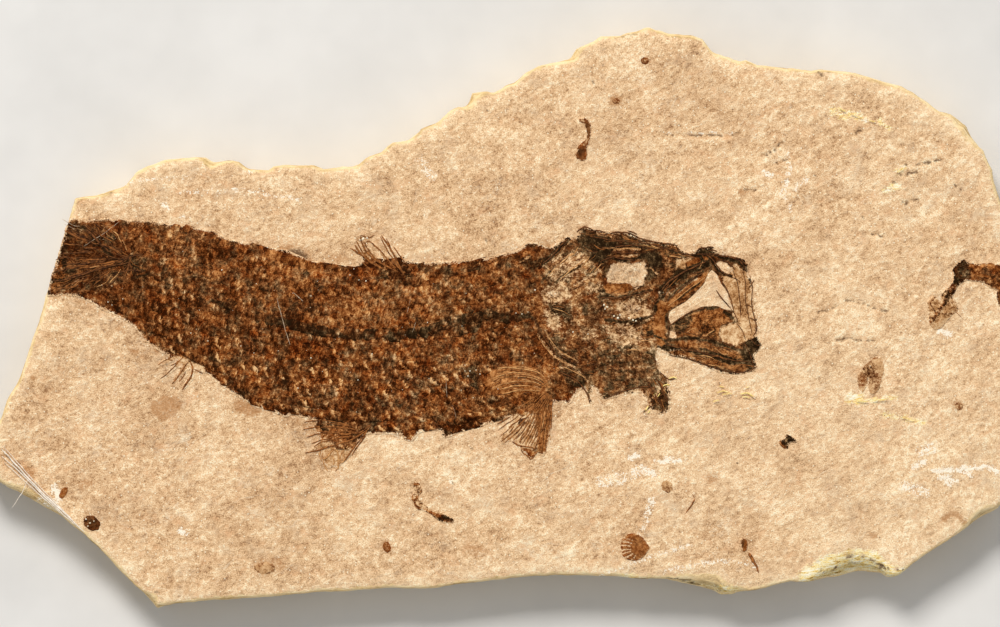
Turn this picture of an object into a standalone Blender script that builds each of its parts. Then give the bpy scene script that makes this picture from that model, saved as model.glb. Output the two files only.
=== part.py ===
"""Fossil fish slab: a thin split stone with a gaping fish and loose fossil scraps in its face.

Outlines stand on the slab's survey sheet, in millimetres: x runs along the slab from its left
end and y runs down its face. The built part is in metres, +Z up, and its origin is the middle
of the flat underside. The fossils lie in shallow beds in the face and stand a little above it.
"""

import math

import bmesh
import bpy
import numpy as np
from mathutils import Vector, noise
from mathutils.geometry import delaunay_2d_cdt

# ---------------------------------------------------------------- driving dimensions, in mm
MM = 0.001
FACE = 5.5                # height of the split face above the underside
FACE_SWELL = 0.10         # how far the face rises and falls
BED_DEPTH = 0.75          # floor of a fossil's bed, below the face
FOSSIL_DEPTH = 0.45       # underside of a fossil, below the face
BED_CLEARANCE = 0.38      # room around a fossil in its bed
OUTLINE_TOLERANCE = 0.07  # how closely the facets follow the outlines
BED_TOLERANCE = 0.08
FACE_GRID = 5.5           # spacing of the face's own facets
SCALE_PITCH = 1.1         # one scale of the fish to the next
FISH_EDGE = 0.08          # height of the fish's rim above the face
FISH_BULK = 0.20          # further height of its trunk
FISH_SHOULDER = 2.2       # how far in from the rim the trunk reaches that height
SCALE_LIFT = 0.05         # height of a scale's middle above its seams
RIDGE_STEP = 0.95         # spacing of facets along a bone or fin ray
CLOSEST = 0.42            # least distance between two facet corners of the fish
FISH_GRID = 1.5           # spacing of the facets that fill the fish's bare stretches
SCRAP_MARGIN = 0.35       # clear rim of a scrap's facets, as a share of their size
FACE_SWELL_SPAN = (17, 13)  # length of the face's swells along and across the slab
EDGE_SPAN = 3.1           # length of the broken edge's bays
LEDGE_WAVE = 0.16         # how far a ledge rises and falls
LEDGE_SPAN = 6.0
BED_MARGIN = 0.6          # clear rim of the face's facets around a bed
GRID_JITTER = 0.18        # share of a grid's spacing by which its points stray
CDT_SNAP = 1e-5

# Bedding levels of the broken edge, from the base up: height, how far the edge steps back
# from the slab's outline there, and how much that step wanders.
BEDDING = (
    (0.0, 0.50, 0.45),
    (1.0, 0.08, 0.25),
    (2.0, 0.35, 0.45),
    (2.5, 0.05, 0.15),
    (3.2, 0.00, 0.00),
    (4.3, 0.20, 0.30),
    (5.15, 0.03, 0.06),
    (5.5, 0.26, 0.10),
)

# Places where the upper layers have flaked off the edge: x, y, reach along the edge, depth.
CHIPS = (
    (85.2, 57.4, 5.2, 1.9),
    (71.0, 59.2, 5.0, 1.1),
    (3.0, 50.1, 5.0, 0.5),
    (47.2, 9.4, 1.6, 0.5),
    (21.0, 15.8, 1.6, 0.4),
    (96.5, 12.2, 3.0, 0.5),
    (98.6, 51.7, 3.0, 0.5),
    (57.2, 5.2, 1.5, 0.4),
    (15.0, 60.4, 1.8, 0.4),
)
CHIP_FLOOR = 3.2          # no flake reaches below this level

# ---------------------------------------------------------------- outline of the slab
UPPER_EDGE = (
    (7.4, 19.7), (8.2, 19.6), (9.5, 19.45), (10.4, 19.1), (11.4, 18.85), (12.4, 18.5), (13.0, 17.7),
    (13.6, 17.0), (14.2, 16.75), (15.0, 16.45), (15.7, 16.05), (16.2, 15.85), (17.2, 15.75), (19.0, 15.6),
    (20.0, 15.5), (20.6, 15.55), (21.0, 15.9), (21.4, 16.05), (22.2, 15.95), (23.2, 15.9), (23.9, 16.05),
    (24.4, 16.5), (24.9, 16.75), (25.6, 16.8), (26.9, 16.9), (27.2, 16.55), (28.5, 16.3), (30.2, 16.4),
    (31.2, 16.35), (31.9, 16.5), (32.4, 16.7), (33.8, 16.6), (34.3, 16.45), (35.1, 16.5), (35.8, 16.25),
    (36.2, 16.0), (36.6, 15.6), (37.4, 15.3), (38.1, 15.1), (38.7, 14.45), (39.2, 14.1), (40.2, 14.0),
    (40.8, 13.85), (41.4, 13.4), (41.8, 13.1), (42.0, 12.7), (42.8, 12.45), (43.6, 12.15), (44.1, 11.75),
    (44.7, 11.2), (45.1, 10.8), (45.7, 10.55), (46.3, 10.55), (46.7, 10.25), (46.9, 9.5), (47.1, 9.1),
    (47.7, 8.95), (48.6, 8.9), (49.3, 9.05), (50.0, 8.85), (50.6, 8.4), (51.4, 8.1), (51.9, 7.6),
    (52.5, 7.1), (53.2, 6.7), (53.9, 6.35), (54.7, 6.25), (55.6, 6.1), (56.4, 5.9), (56.9, 5.7),
    (57.1, 5.3), (57.6, 4.7), (58.3, 4.45), (59.0, 4.1), (59.5, 3.9), (60.0, 3.5), (60.6, 3.4),
    (62.0, 3.4), (62.6, 3.15), (63.3, 3.0), (64.0, 2.85), (64.5, 2.6), (65.0, 2.55), (65.6, 2.85),
    (66.1, 2.9), (66.8, 3.2), (68.4, 3.3), (69.1, 3.35), (69.8, 3.6), (70.3, 3.75), (70.7, 4.2),
    (71.0, 4.7), (71.4, 5.1), (72.0, 5.25), (72.8, 5.55), (73.5, 5.9), (74.0, 6.0), (74.6, 5.85),
    (75.0, 6.0), (75.8, 6.35), (77.0, 6.45), (77.8, 6.6), (78.7, 6.7), (79.3, 6.65), (80.2, 6.8),
    (81.2, 6.9), (82.0, 6.75), (83.7, 6.85), (84.8, 7.0), (85.6, 7.1), (86.2, 7.3), (86.9, 7.6),
    (88.2, 7.9), (89.5, 8.25), (90.2, 8.5), (91.4, 9.1), (92.1, 9.6), (92.8, 10.1), (93.4, 10.55),
    (93.9, 10.9), (94.5, 11.1), (95.3, 11.25), (95.7, 11.65), (96.3, 12.1), (96.9, 12.5), (97.2, 13.1),
    (97.5, 13.8), (98.0, 14.55), (98.5, 14.9), (98.7, 15.5), (99.0, 16.3), (99.4, 16.9), (99.5, 17.8),
    (99.7, 18.7), (100.0, 19.5),
)
RIGHT_END = (
    (100.4, 20.6), (101.0, 22.2), (101.5, 24.0), (101.9, 26.2), (102.2, 28.5), (102.3, 31.0),
    (102.2, 33.8), (102.1, 36.5), (101.9, 39.2), (101.7, 42.0), (101.4, 44.5), (101.2, 46.5),
    (101.0, 48.2), (100.8, 49.5), (100.5, 50.3),
)
LOWER_EDGE = (
    (100.0, 51.0), (99.3, 51.3), (98.6, 51.7), (97.9, 52.1), (97.2, 52.7), (96.6, 53.1), (95.8, 53.55),
    (95.0, 54.1), (94.3, 54.55), (93.7, 55.0), (93.0, 55.4), (92.4, 55.8), (91.8, 56.3), (91.0, 56.9),
    (90.4, 57.35), (89.8, 57.75), (89.2, 57.9), (88.6, 57.8), (88.1, 57.45), (86.8, 57.35), (85.8, 57.3),
    (85.0, 57.5), (84.2, 57.7), (83.4, 57.95), (82.4, 58.0), (81.8, 58.2), (81.0, 58.35), (79.0, 58.3),
    (78.4, 58.4), (77.7, 58.6), (76.0, 59.0), (75.2, 59.25), (73.8, 59.45), (73.3, 59.65), (72.0, 59.6),
    (71.3, 59.2), (70.0, 58.8), (69.0, 58.6), (68.0, 58.4), (66.8, 58.1), (64.0, 58.0), (62.0, 57.8),
    (60.6, 57.8), (59.0, 57.75), (57.5, 57.7), (55.0, 57.7), (53.0, 57.8), (51.0, 57.95), (50.0, 58.1),
    (48.0, 58.3), (47.0, 58.45), (45.8, 58.6), (44.8, 58.8), (43.6, 58.9), (42.0, 59.0), (40.5, 58.95),
    (39.0, 58.95), (37.5, 59.05), (36.2, 59.2), (32.5, 59.3), (31.2, 59.4), (28.8, 59.65), (27.6, 59.7),
    (25.2, 60.0), (22.5, 60.1), (19.0, 60.4), (17.8, 60.5), (16.6, 60.75), (15.6, 61.1),
)
LEFT_CORNER = (
    (15.0, 60.4), (14.4, 59.7), (13.7, 59.0), (13.0, 58.3), (12.2, 57.5), (11.4, 56.7), (10.7, 55.9),
    (9.8, 54.9), (9.0, 54.1), (8.4, 53.6), (7.6, 53.0), (6.0, 51.8), (5.3, 51.4), (4.5, 50.9),
    (3.0, 50.1), (2.0, 49.6), (1.0, 49.0), (0.0, 48.55), (-0.6, 48.2), (-1.4, 47.7), (-2.1, 46.8),
    (-1.9, 46.0), (-1.6, 44.7), (-1.1, 43.4), (-0.6, 42.4), (0.0, 41.5), (0.6, 40.0), (1.1, 39.0),
)
LEFT_BREAK = (
    (1.7, 38.0), (2.4, 36.0), (3.1, 34.0), (3.8, 32.0), (4.1, 31.0), (4.35, 30.0), (4.6, 29.0),
    (4.95, 28.0), (5.2, 27.0), (5.5, 26.0), (5.9, 25.0), (6.1, 24.0), (6.4, 23.0), (6.7, 22.0),
    (7.0, 21.0), (7.3, 20.0),
)
SLAB_OUTLINE = UPPER_EDGE + RIGHT_END + LOWER_EDGE + LEFT_CORNER + LEFT_BREAK

# ---------------------------------------------------------------- outline of the fish
BACK_OF_TAIL = (
    (6.85, 21.8), (7.6, 21.7), (9.0, 21.9), (10.5, 21.8), (12.5, 22.0), (14.5, 22.0), (16.3, 22.2),
    (18.0, 22.5), (19.5, 22.8), (21.3, 23.0), (22.8, 23.9), (24.4, 24.2), (25.8, 24.3), (27.2, 24.8),
    (28.8, 25.0), (30.4, 25.8), (31.2, 26.2), (32.8, 26.2), (34.5, 26.5),
)
DORSAL_FIN = (
    (35.4, 26.6), (36.2, 26.1), (36.1, 25.6), (34.9, 24.95), (35.0, 24.6), (36.2, 25.05), (35.5, 24.2),
    (35.8, 24.0), (36.5, 24.8), (35.9, 23.7), (36.2, 23.45), (37.2, 25.1), (38.2, 25.9), (37.0, 24.3),
    (37.3, 24.05), (38.7, 25.4), (39.3, 25.8), (37.9, 23.7), (38.25, 23.4), (39.9, 25.7), (39.3, 24.8),
    (39.6, 24.6), (40.5, 26.0),
)
NAPE = (
    (41.5, 26.2), (43.0, 26.2), (45.0, 26.1), (47.0, 26.0), (48.8, 25.8), (49.6, 25.5), (51.6, 25.1),
    (52.2, 24.7), (52.7, 24.2), (53.3, 24.1), (54.6, 24.6), (55.2, 24.7), (55.7, 24.3), (56.3, 23.8),
)
SKULL_ROOF = (
    (56.7, 23.55), (57.2, 23.8), (57.7, 23.6), (58.0, 23.2), (57.9, 22.9), (58.3, 22.55), (58.8, 22.75),
    (60.0, 23.0), (61.2, 23.2), (62.5, 23.1), (63.7, 23.6), (64.1, 24.0), (65.5, 24.2), (66.8, 24.3),
    (67.5, 24.2), (68.1, 24.8), (68.5, 25.3), (69.0, 25.4), (69.7, 25.0), (69.9, 24.65), (71.2, 24.7),
    (71.6, 25.2),
)
SNOUT = (
    (72.2, 25.5), (73.6, 25.7), (74.6, 26.0), (74.9, 26.4), (74.8, 27.3), (75.2, 28.0), (75.4, 30.0),
    (75.7, 31.4), (75.8, 32.2), (75.7, 33.6), (76.15, 34.4), (75.9, 35.1), (75.4, 35.5), (75.65, 36.5),
    (75.4, 37.05),
)
LOWER_JAW = (
    (74.5, 37.4), (73.6, 37.5), (72.2, 37.3), (70.8, 36.9), (69.4, 36.1), (68.0, 35.7), (67.1, 35.6),
    (66.2, 35.2), (65.85, 34.8),
)
THROAT = (
    (65.75, 35.6), (65.9, 36.3), (66.1, 37.1), (66.9, 37.7), (66.8, 38.5), (67.1, 40.0), (67.2, 40.6),
    (66.8, 41.2), (65.9, 41.6), (65.0, 40.9), (64.3, 39.8), (64.0, 39.2), (62.6, 39.5), (61.0, 39.9),
    (60.2, 40.0), (59.7, 39.2), (59.3, 38.8), (59.2, 40.4), (58.9, 40.3), (58.4, 39.0), (57.8, 39.1),
    (57.3, 40.0), (57.0, 40.5), (56.3, 40.3), (55.2, 40.2),
)
PECTORAL_FIN = (
    (55.1, 41.5), (55.1, 43.0), (54.7, 44.8), (54.5, 45.6), (53.8, 45.5), (53.0, 46.0), (52.2, 45.2),
    (51.2, 44.1), (50.1, 44.5), (50.0, 43.7), (51.2, 42.3), (51.1, 41.75),
)
BELLY = (
    (50.0, 42.1), (48.0, 42.7), (46.2, 43.2), (44.9, 43.7), (44.4, 43.9), (44.0, 43.1), (43.0, 43.1),
    (42.0, 43.2), (41.2, 44.2), (40.5, 44.1), (40.0, 43.5), (38.0, 43.5), (36.8, 43.4),
)
PELVIC_FIN = (
    (36.2, 43.9), (35.4, 45.3), (34.3, 46.3), (33.8, 46.9), (33.4, 46.5), (32.8, 47.0), (32.2, 46.2),
    (32.0, 45.0), (30.6, 45.3), (31.3, 44.7), (32.0, 43.7), (31.2, 42.8), (31.7, 42.1),
)
VENT = (
    (30.8, 41.9), (29.3, 41.5), (28.5, 41.8), (27.7, 41.4), (26.8, 41.0), (25.5, 40.7), (24.3, 40.0),
    (22.9, 39.2), (21.5, 38.1), (20.8, 37.4),
)
ANAL_FIN = (
    (20.35, 37.3), (19.9, 37.0), (19.55, 36.9), (19.4, 37.9), (18.4, 39.0), (18.1, 38.8), (18.9, 37.7),
    (18.9, 36.8), (17.4, 38.4), (17.1, 38.15), (18.1, 36.5), (16.7, 37.7), (16.5, 37.5), (17.6, 36.1),
    (16.0, 36.6), (15.9, 36.3), (16.9, 35.7),
)
UNDER_TAIL = (
    (16.3, 35.4), (15.5, 34.9), (15.0, 34.3), (14.3, 34.1), (13.9, 33.3), (13.3, 32.6), (12.5, 32.2),
    (11.2, 31.4), (9.8, 30.8), (9.2, 30.3), (7.8, 29.7), (6.2, 29.5), (5.5, 29.7), (4.6, 29.6),
)
TAIL_BREAK = ((5.05, 28.0), (5.6, 26.0), (6.2, 24.0))
FISH_OUTLINE = (
    BACK_OF_TAIL + DORSAL_FIN + NAPE + SKULL_ROOF + SNOUT + LOWER_JAW + THROAT + PECTORAL_FIN + BELLY
    + PELVIC_FIN + VENT + ANAL_FIN + UNDER_TAIL + TAIL_BREAK
)
GAPE = (
    (71.2, 26.9), (71.8, 27.5), (72.2, 28.4), (72.8, 29.2), (73.1, 30.2), (73.4, 31.0), (72.8, 31.1),
    (71.6, 30.6), (70.3, 30.7), (69.0, 31.2), (67.8, 32.0), (67.1, 32.6), (66.8, 31.8), (66.9, 31.1),
    (68.1, 30.4), (69.3, 29.5), (70.3, 28.4), (70.7, 27.4),
)
ORBIT = (
    (60.9, 26.4), (62.5, 26.6), (64.0, 26.2), (64.5, 26.6), (64.1, 27.0), (64.5, 28.1), (63.6, 29.0),
    (62.9, 28.4), (62.0, 28.2), (60.6, 28.3), (60.7, 27.8), (61.2, 27.1),
)
GAPE_STONE = (
    (71.2, 27.6), (71.8, 28.6), (72.4, 29.6), (72.7, 30.6), (71.5, 30.2), (70.0, 30.3), (68.6, 30.9),
    (69.6, 29.9), (70.7, 28.7),
)
ORBIT_STONE = (
    (61.5, 26.9), (62.6, 27.0), (63.6, 26.8), (63.9, 27.9), (63.6, 28.4), (63.1, 27.9), (61.4, 27.8),
)

# ---------------------------------------------------------------- bones and fin rays of the fish
# Each ridge: half-width, height, line.
SPINE_LINE = (
    0.55, 0.08,
    ((51.0, 30.9), (48.0, 31.8), (44.0, 32.6), (40.0, 33.5), (35.0, 33.4), (31.0, 33.0), (26.0, 31.8),
     (21.5, 30.0), (16.5, 27.5), (12.5, 26.1)),
)
SKULL_BONES = (
    (0.60, 0.14, ((57.2, 24.6), (60.0, 24.2), (63.5, 24.9), (67.0, 25.3), (70.6, 25.9))),
    (0.45, 0.10, ((58.6, 29.0), (61.5, 29.9), (65.3, 29.2), (67.8, 28.2))),
    (0.50, 0.14, ((66.6, 28.0), (68.5, 27.1), (70.6, 26.3), (73.2, 26.4))),
    (0.40, 0.16, ((66.9, 30.2), (68.5, 29.2), (70.2, 27.6))),
    (0.45, 0.14, ((66.2, 30.6), (66.0, 32.4), (65.8, 34.2))),
    (0.40, 0.10, ((73.3, 27.2), (74.2, 29.5), (74.6, 32.0), (74.9, 34.2))),
    (0.45, 0.14, ((67.4, 33.2), (69.4, 31.9), (71.8, 31.4), (73.6, 32.4))),
    (0.55, 0.16, ((66.6, 34.6), (69.5, 35.3), (72.4, 36.4), (75.0, 36.6))),
    (0.40, 0.10, ((68.0, 34.2), (70.5, 33.6), (73.0, 34.6))),
    (0.50, 0.12, ((56.2, 27.0), (56.4, 30.5), (57.6, 34.5), (59.4, 38.2))),
    (0.45, 0.09, ((53.8, 31.0), (53.6, 33.4), (55.0, 35.6), (57.4, 37.2))),
    (0.45, 0.10, ((61.0, 31.6), (61.2, 34.5), (60.9, 38.8))),
    (0.45, 0.10, ((63.4, 31.4), (63.6, 35.0), (63.2, 38.6))),
)
THROAT_RAYS = tuple((0.30, 0.10, ((64.6, 36.6), tip)) for tip in ((64.7, 40.0), (65.8, 41.2), (66.8, 40.4)))
UPPER_PECTORAL = tuple(
    (0.30, 0.10, ((55.2, 38.2), (52.0, middle), tip))
    for middle, tip in (
        (37.2, (49.2, 37.2)), (38.1, (48.2, 38.5)), (38.9, (48.4, 39.9)), (39.7, (49.8, 41.0)),
    )
)
LOWER_PECTORAL = tuple(
    (0.28, 0.10, ((53.8, 40.4), tip))
    for tip in ((50.4, 44.1), (52.2, 44.9), (53.4, 45.6), (54.3, 45.3), (54.9, 43.2))
)
PELVIC_RAYS = tuple(
    (0.28, 0.10, ((36.0, 42.8), tip)) for tip in ((31.1, 45.0), (32.5, 46.3), (33.8, 46.5), (35.0, 45.6))
)
DORSAL_RAYS = tuple(
    (0.25, 0.10, ((40.2, 27.3), tip)) for tip in ((36.4, 25.3), (37.4, 25.6), (38.5, 25.7), (39.8, 26.1))
)
TAIL_RAYS = tuple(
    (0.35, 0.08, ((12.6, 26.2), tip))
    for tip in ((8.0, 22.8), (7.0, 24.6), (6.6, 26.4), (6.2, 28.2), (8.4, 29.3))
)
RIDGES = (
    (SPINE_LINE,) + SKULL_BONES + THROAT_RAYS + UPPER_PECTORAL + LOWER_PECTORAL + PELVIC_RAYS + DORSAL_RAYS
    + TAIL_RAYS
)
# The scales stand in slanting columns, and their rows follow the trunk.
COLUMN_TURN = math.radians(-20)
ROW_TURN = math.radians(-80)
SCALES_FROM, SCALES_TO = 12.5, 53.5  # where along the sheet the scales start and end
SCALES_FADE = 2.0         # stretch over which they rise at either end
SCALES_HALF_DEPTH = 15.0  # no scale lies further than this from the slab's middle line

# ---------------------------------------------------------------- loose fossils
STRAY_BONE = (
    (92.7, 30.2), (93.3, 29.6), (93.8, 29.8), (94.0, 30.4), (94.1, 29.6), (94.4, 29.1), (94.9, 28.7),
    (95.3, 28.3), (95.4, 27.5), (95.2, 26.9), (95.7, 26.4), (96.4, 25.9), (96.8, 26.3), (97.8, 26.4),
    (99.1, 26.3), (100.2, 26.6), (100.8, 27.4), (100.9, 28.6), (100.8, 29.8), (100.5, 30.6), (99.9, 30.6),
    (99.6, 29.8), (99.7, 29.0), (98.9, 28.75), (98.4, 28.2), (96.5, 28.0), (95.8, 28.5), (95.6, 29.0),
    (95.2, 29.8), (95.6, 30.4), (95.8, 31.0), (95.2, 31.5), (94.7, 32.1), (94.0, 32.9), (93.4, 33.0),
    (92.9, 32.4), (92.9, 31.2),
)
LEAF_FRAGMENT = (
    (87.2, 36.0), (87.5, 35.75), (88.1, 35.8), (88.4, 36.4), (88.4, 37.3), (88.1, 38.2), (87.9, 38.9),
    (87.5, 39.4), (87.0, 39.4), (86.8, 38.4), (86.6, 38.7), (86.3, 39.3), (85.9, 38.9), (85.7, 38.0),
    (85.8, 37.5), (86.2, 37.0), (86.5, 36.5),
)
LOOSE_SCALE = (
    (63.1, 53.3), (63.6, 53.35), (64.2, 53.7), (64.7, 54.3), (65.0, 54.8), (64.6, 55.4), (64.0, 55.95),
    (63.3, 56.1), (62.6, 55.9), (62.2, 55.5), (62.1, 55.0), (62.05, 54.5), (62.2, 54.0), (62.5, 53.6),
)
BONE_SPLINTER = (
    (41.3, 48.4), (41.5, 48.2), (41.9, 48.3), (42.2, 48.8), (42.15, 49.2), (41.8, 49.5), (41.8, 49.9),
    (42.3, 50.3), (43.1, 51.0), (43.7, 51.2), (44.3, 51.3), (44.8, 51.6), (45.4, 52.0), (45.2, 52.25),
    (44.4, 52.3), (43.7, 51.9), (43.0, 51.4), (42.3, 51.0), (41.7, 50.9), (41.4, 50.5), (41.4, 50.1),
    (41.1, 49.9), (41.3, 49.5), (41.5, 49.2), (41.4, 48.8),
)
HOOKED_BONE = (
    (57.9, 11.85), (58.4, 11.9), (58.9, 12.3), (59.15, 13.0), (59.05, 13.7), (58.7, 14.3), (58.1, 14.8),
    (57.75, 15.3), (57.8, 15.55), (58.2, 15.7), (58.4, 15.4), (58.55, 14.5), (58.85, 14.5), (58.8, 15.6),
    (58.35, 16.05), (57.7, 15.9), (57.35, 15.4), (57.6, 14.7), (58.4, 14.0), (58.75, 13.5), (58.8, 13.0),
    (58.6, 12.5), (58.3, 12.2), (57.9, 12.15),
)
DARK_CHIP = (
    (78.7, 43.4), (79.2, 43.7), (79.65, 44.0), (79.6, 44.25), (79.1, 44.2), (78.8, 44.4), (78.8, 44.9),
    (78.4, 44.9), (78.1, 44.6), (77.9, 44.3), (78.0, 44.05), (78.4, 44.0), (78.5, 43.7),
)
BONE_WEDGE = (
    (74.2, 53.8), (74.6, 53.9), (74.8, 54.4), (74.7, 55.0), (74.3, 55.2), (74.1, 54.6), (74.0, 54.1),
)
# Seed cases: x, y, half length, half width, turn in degrees, height.
SEED_CASES = (
    (64.5, 6.0, 0.50, 0.42, 80, 0.30),
    (61.6, 10.1, 0.50, 0.34, 10, 0.22),
    (38.7, 54.7, 0.70, 0.46, 75, 0.26),
    (6.2, 49.4, 0.55, 0.40, 60, 0.24),
    (9.2, 52.3, 0.90, 0.65, 35, 0.32),
    (26.5, 56.8, 1.30, 0.60, 5, 0.26),
    (95.9, 40.6, 0.52, 0.45, 30, 0.20),
    (66.7, 48.7, 0.75, 0.62, 50, 0.16),
)
SEED_SIDES = 12


# ---------------------------------------------------------------- flat geometry, in mm
def sheet_middle():
    """The middle of the slab's box on the survey sheet."""
    xs = [x for x, y in SLAB_OUTLINE]
    ys = [y for x, y in SLAB_OUTLINE]
    return (min(xs) + max(xs)) / 2, (min(ys) + max(ys)) / 2


MIDDLE_X, MIDDLE_Y = sheet_middle()


def on_part(points):
    """Sheet points in the part's own axes, as rows of x and y."""
    return np.array([(x - MIDDLE_X, MIDDLE_Y - y) for x, y in points])


def area(ring):
    """Signed area of a ring, positive when it runs counter-clockwise."""
    after = np.roll(ring, -1, axis=0)
    return 0.5 * float(np.sum(ring[:, 0] * after[:, 1] - after[:, 0] * ring[:, 1]))


def counter_clockwise(ring):
    return ring if area(ring) > 0 else ring[::-1]


def unit(vectors):
    return vectors / np.maximum(np.linalg.norm(vectors, axis=-1, keepdims=True), 1e-9)


def outward(steps):
    """The outward side of each step of a counter-clockwise ring."""
    return unit(np.stack([steps[:, 1], -steps[:, 0]], axis=1))


def distance_to_line(points, line, closed):
    """Distance from each point to a line of segments."""
    ends = np.roll(line, -1, axis=0) if closed else line[1:]
    starts = line if closed else line[:-1]
    along = ends - starts
    reach = np.asarray(points)[:, None, :] - starts
    share = np.clip((reach * along).sum(-1) / (along * along).sum(-1), 0, 1)
    return np.linalg.norm(reach - share[..., None] * along, axis=-1).min(1)


def inside(points, ring):
    """Which points lie inside a ring."""
    points = np.asarray(points)
    ends = np.roll(ring, -1, axis=0)
    x, y = points[:, 0, None], points[:, 1, None]
    straddles = (ring[:, 1] > y) != (ends[:, 1] > y)
    rise = np.where(ends[:, 1] == ring[:, 1], 1e-9, ends[:, 1] - ring[:, 1])
    crossing = ring[:, 0] + (y - ring[:, 1]) * (ends[:, 0] - ring[:, 0]) / rise
    return (straddles & (x < crossing)).sum(1) % 2 == 1


def simplified(ring, tolerance):
    """The ring without the points that lie within tolerance of a straight run of the others."""
    def run(first, last):
        if last - first < 2:
            return []
        gaps = distance_to_line(closed[first + 1:last], closed[[first, last]], closed=False)
        far = int(gaps.argmax())
        if gaps[far] < tolerance:
            return []
        middle = first + 1 + far
        return run(first, middle) + [middle] + run(middle, last)

    start = int(ring[:, 0].argmin())
    closed = np.vstack([ring[start:], ring[:start + 1]])
    opposite = int(closed[:, 0].argmax())
    kept = [0] + run(0, opposite) + [opposite] + run(opposite, len(closed) - 1)
    return closed[kept]


def triangles_in(rings, inner=()):
    """Triangles inside the first ring and outside the others: points, corners, each point's sources."""
    points = [Vector(point) for ring in rings for point in ring] + [Vector(point) for point in inner]
    loops = []
    for ring in rings:
        first = sum(map(len, loops))
        loops.append(list(range(first, first + len(ring))))
    flat, _, faces, sources, _, owners = delaunay_2d_cdt(points, [], loops, 0, CDT_SNAP)
    return flat, [face for face, owner in zip(faces, owners) if list(owner) == [0]], sources


def grown(ring, distance):
    """The ring moved outward by a distance, with the places where it would cross itself filled."""
    ring = counter_clockwise(ring)
    after = outward(np.roll(ring, -1, axis=0) - ring)
    before = np.roll(after, 1, axis=0)
    middle = unit(before + after)
    moved = []
    for point, first, second, third in zip(ring, before, middle, after):
        moved += [point + distance * first, point + distance * second, point + distance * third]
    count = len(moved)
    steps = [(i, (i + 1) % count) for i in range(count)]
    flat, _, faces, _, _, _ = delaunay_2d_cdt([Vector(point) for point in moved], steps, [], 1, CDT_SNAP)
    edges = {(face[i - 1], face[i]) for face in faces for i in range(len(face))}
    following = {a: b for a, b in edges if (b, a) not in edges}
    loops = []
    while following:
        start, here = following.popitem()
        loop = [start]
        while here != start and here in following:
            loop.append(here)
            here = following.pop(here)
        loops.append(np.array([flat[i] for i in loop]))
    return simplified(max(loops, key=lambda loop: abs(area(loop))), BED_TOLERANCE)


def along(line, step):
    """Points on a line, one at each bend and no more than a step apart."""
    found = [line[0]]
    for start, end in zip(line[:-1], line[1:]):
        pieces = max(1, round(float(np.linalg.norm(end - start)) / step))
        found += [start + (end - start) * share / pieces for share in range(1, pieces + 1)]
    return np.array(found)


def beside(line, offset, step):
    """Points on both sides of a line."""
    middles = along(line, step)
    side = outward(np.gradient(middles, axis=0)) * offset
    return np.vstack([middles + side, middles - side])


def spaced(groups, rim, least):
    """The points of the groups, in turn, that keep a least distance to the rim and to each other."""
    kept = np.empty((0, 2))
    for group in groups:
        clear = group[distance_to_line(group, rim, closed=True) > least]
        for point in clear[inside(clear, rim)]:
            if not len(kept) or np.linalg.norm(kept - point, axis=1).min() > least:
                kept = np.vstack([kept, point])
    return kept


def grid_in(ring, spacing, margin, seed):
    """A loose grid of points inside a ring, a margin away from it."""
    rng = np.random.default_rng(seed)
    low, high = ring.min(0), ring.max(0)
    xs = np.arange(low[0] + spacing / 2, high[0], spacing)
    ys = np.arange(low[1] + spacing / 2, high[1], spacing * math.sqrt(0.75))
    rows = [(x + (row % 2) * spacing / 2, y) for row, y in enumerate(ys) for x in xs]
    if not rows:
        return np.empty((0, 2))
    points = np.array(rows) + rng.uniform(-GRID_JITTER, GRID_JITTER, (len(rows), 2)) * spacing
    keep = inside(points, ring) & (distance_to_line(points, ring, closed=True) > margin)
    return points[keep]


# ---------------------------------------------------------------- heights, in mm
def eased(share):
    share = np.clip(share, 0, 1)
    return share * share * (3 - 2 * share)


def swell(points):
    """Height of the split face, which rises and falls a little."""
    wide = [noise.noise(Vector((x / FACE_SWELL_SPAN[0], y / FACE_SWELL_SPAN[1], 2.5))) for x, y in points]
    return FACE + FACE_SWELL * np.array(wide)


def fish_height(points):
    """Height of the fish: a low trunk, the scales on it, and a ridge for each bone and fin ray."""
    points = np.asarray(points)
    rim = on_part(FISH_OUTLINE)
    depth = distance_to_line(points, rim, closed=True)
    trunk = FISH_EDGE + FISH_BULK * eased(depth / FISH_SHOULDER)
    column, row = lattice(points)
    x = points[:, 0] + MIDDLE_X
    ends = eased((x - SCALES_FROM) / SCALES_FADE) * eased((SCALES_TO - x) / SCALES_FADE)
    scaly = ends * eased(depth)
    scales = SCALE_LIFT * scaly * (np.cos(math.tau * column) + np.cos(math.tau * row)) / 2
    bones = np.zeros(len(points))
    for half_width, height, line in RIDGES:
        away = distance_to_line(points, on_part(line), closed=False)
        bones = np.maximum(bones, height * (1 - eased(away / half_width)))
    return swell(points) + trunk + scales + bones


def lattice(points):
    """Column and row of the scales at each point, counted in scales."""
    turns = np.array([[math.cos(turn), math.sin(turn)] for turn in (COLUMN_TURN, ROW_TURN)])
    return (np.asarray(points) @ turns.T / SCALE_PITCH).T


def scale_points(half):
    """The middles of the scales, or their seams' crossings when half is set."""
    turns = np.array([[math.cos(turn), math.sin(turn)] for turn in (COLUMN_TURN, ROW_TURN)])
    reach = math.ceil(2 * MIDDLE_X / SCALE_PITCH)
    counts = np.arange(-reach, reach)
    cells = np.array([(i, j) for i in counts for j in counts]) + (0.5 if half else 0.0)
    points = cells @ np.linalg.inv(turns).T * SCALE_PITCH
    x = points[:, 0] + MIDDLE_X
    points = points[(x > SCALES_FROM) & (x < SCALES_TO) & (np.abs(points[:, 1]) < SCALES_HALF_DEPTH)]
    return points[inside(points, on_part(FISH_OUTLINE))]


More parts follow.
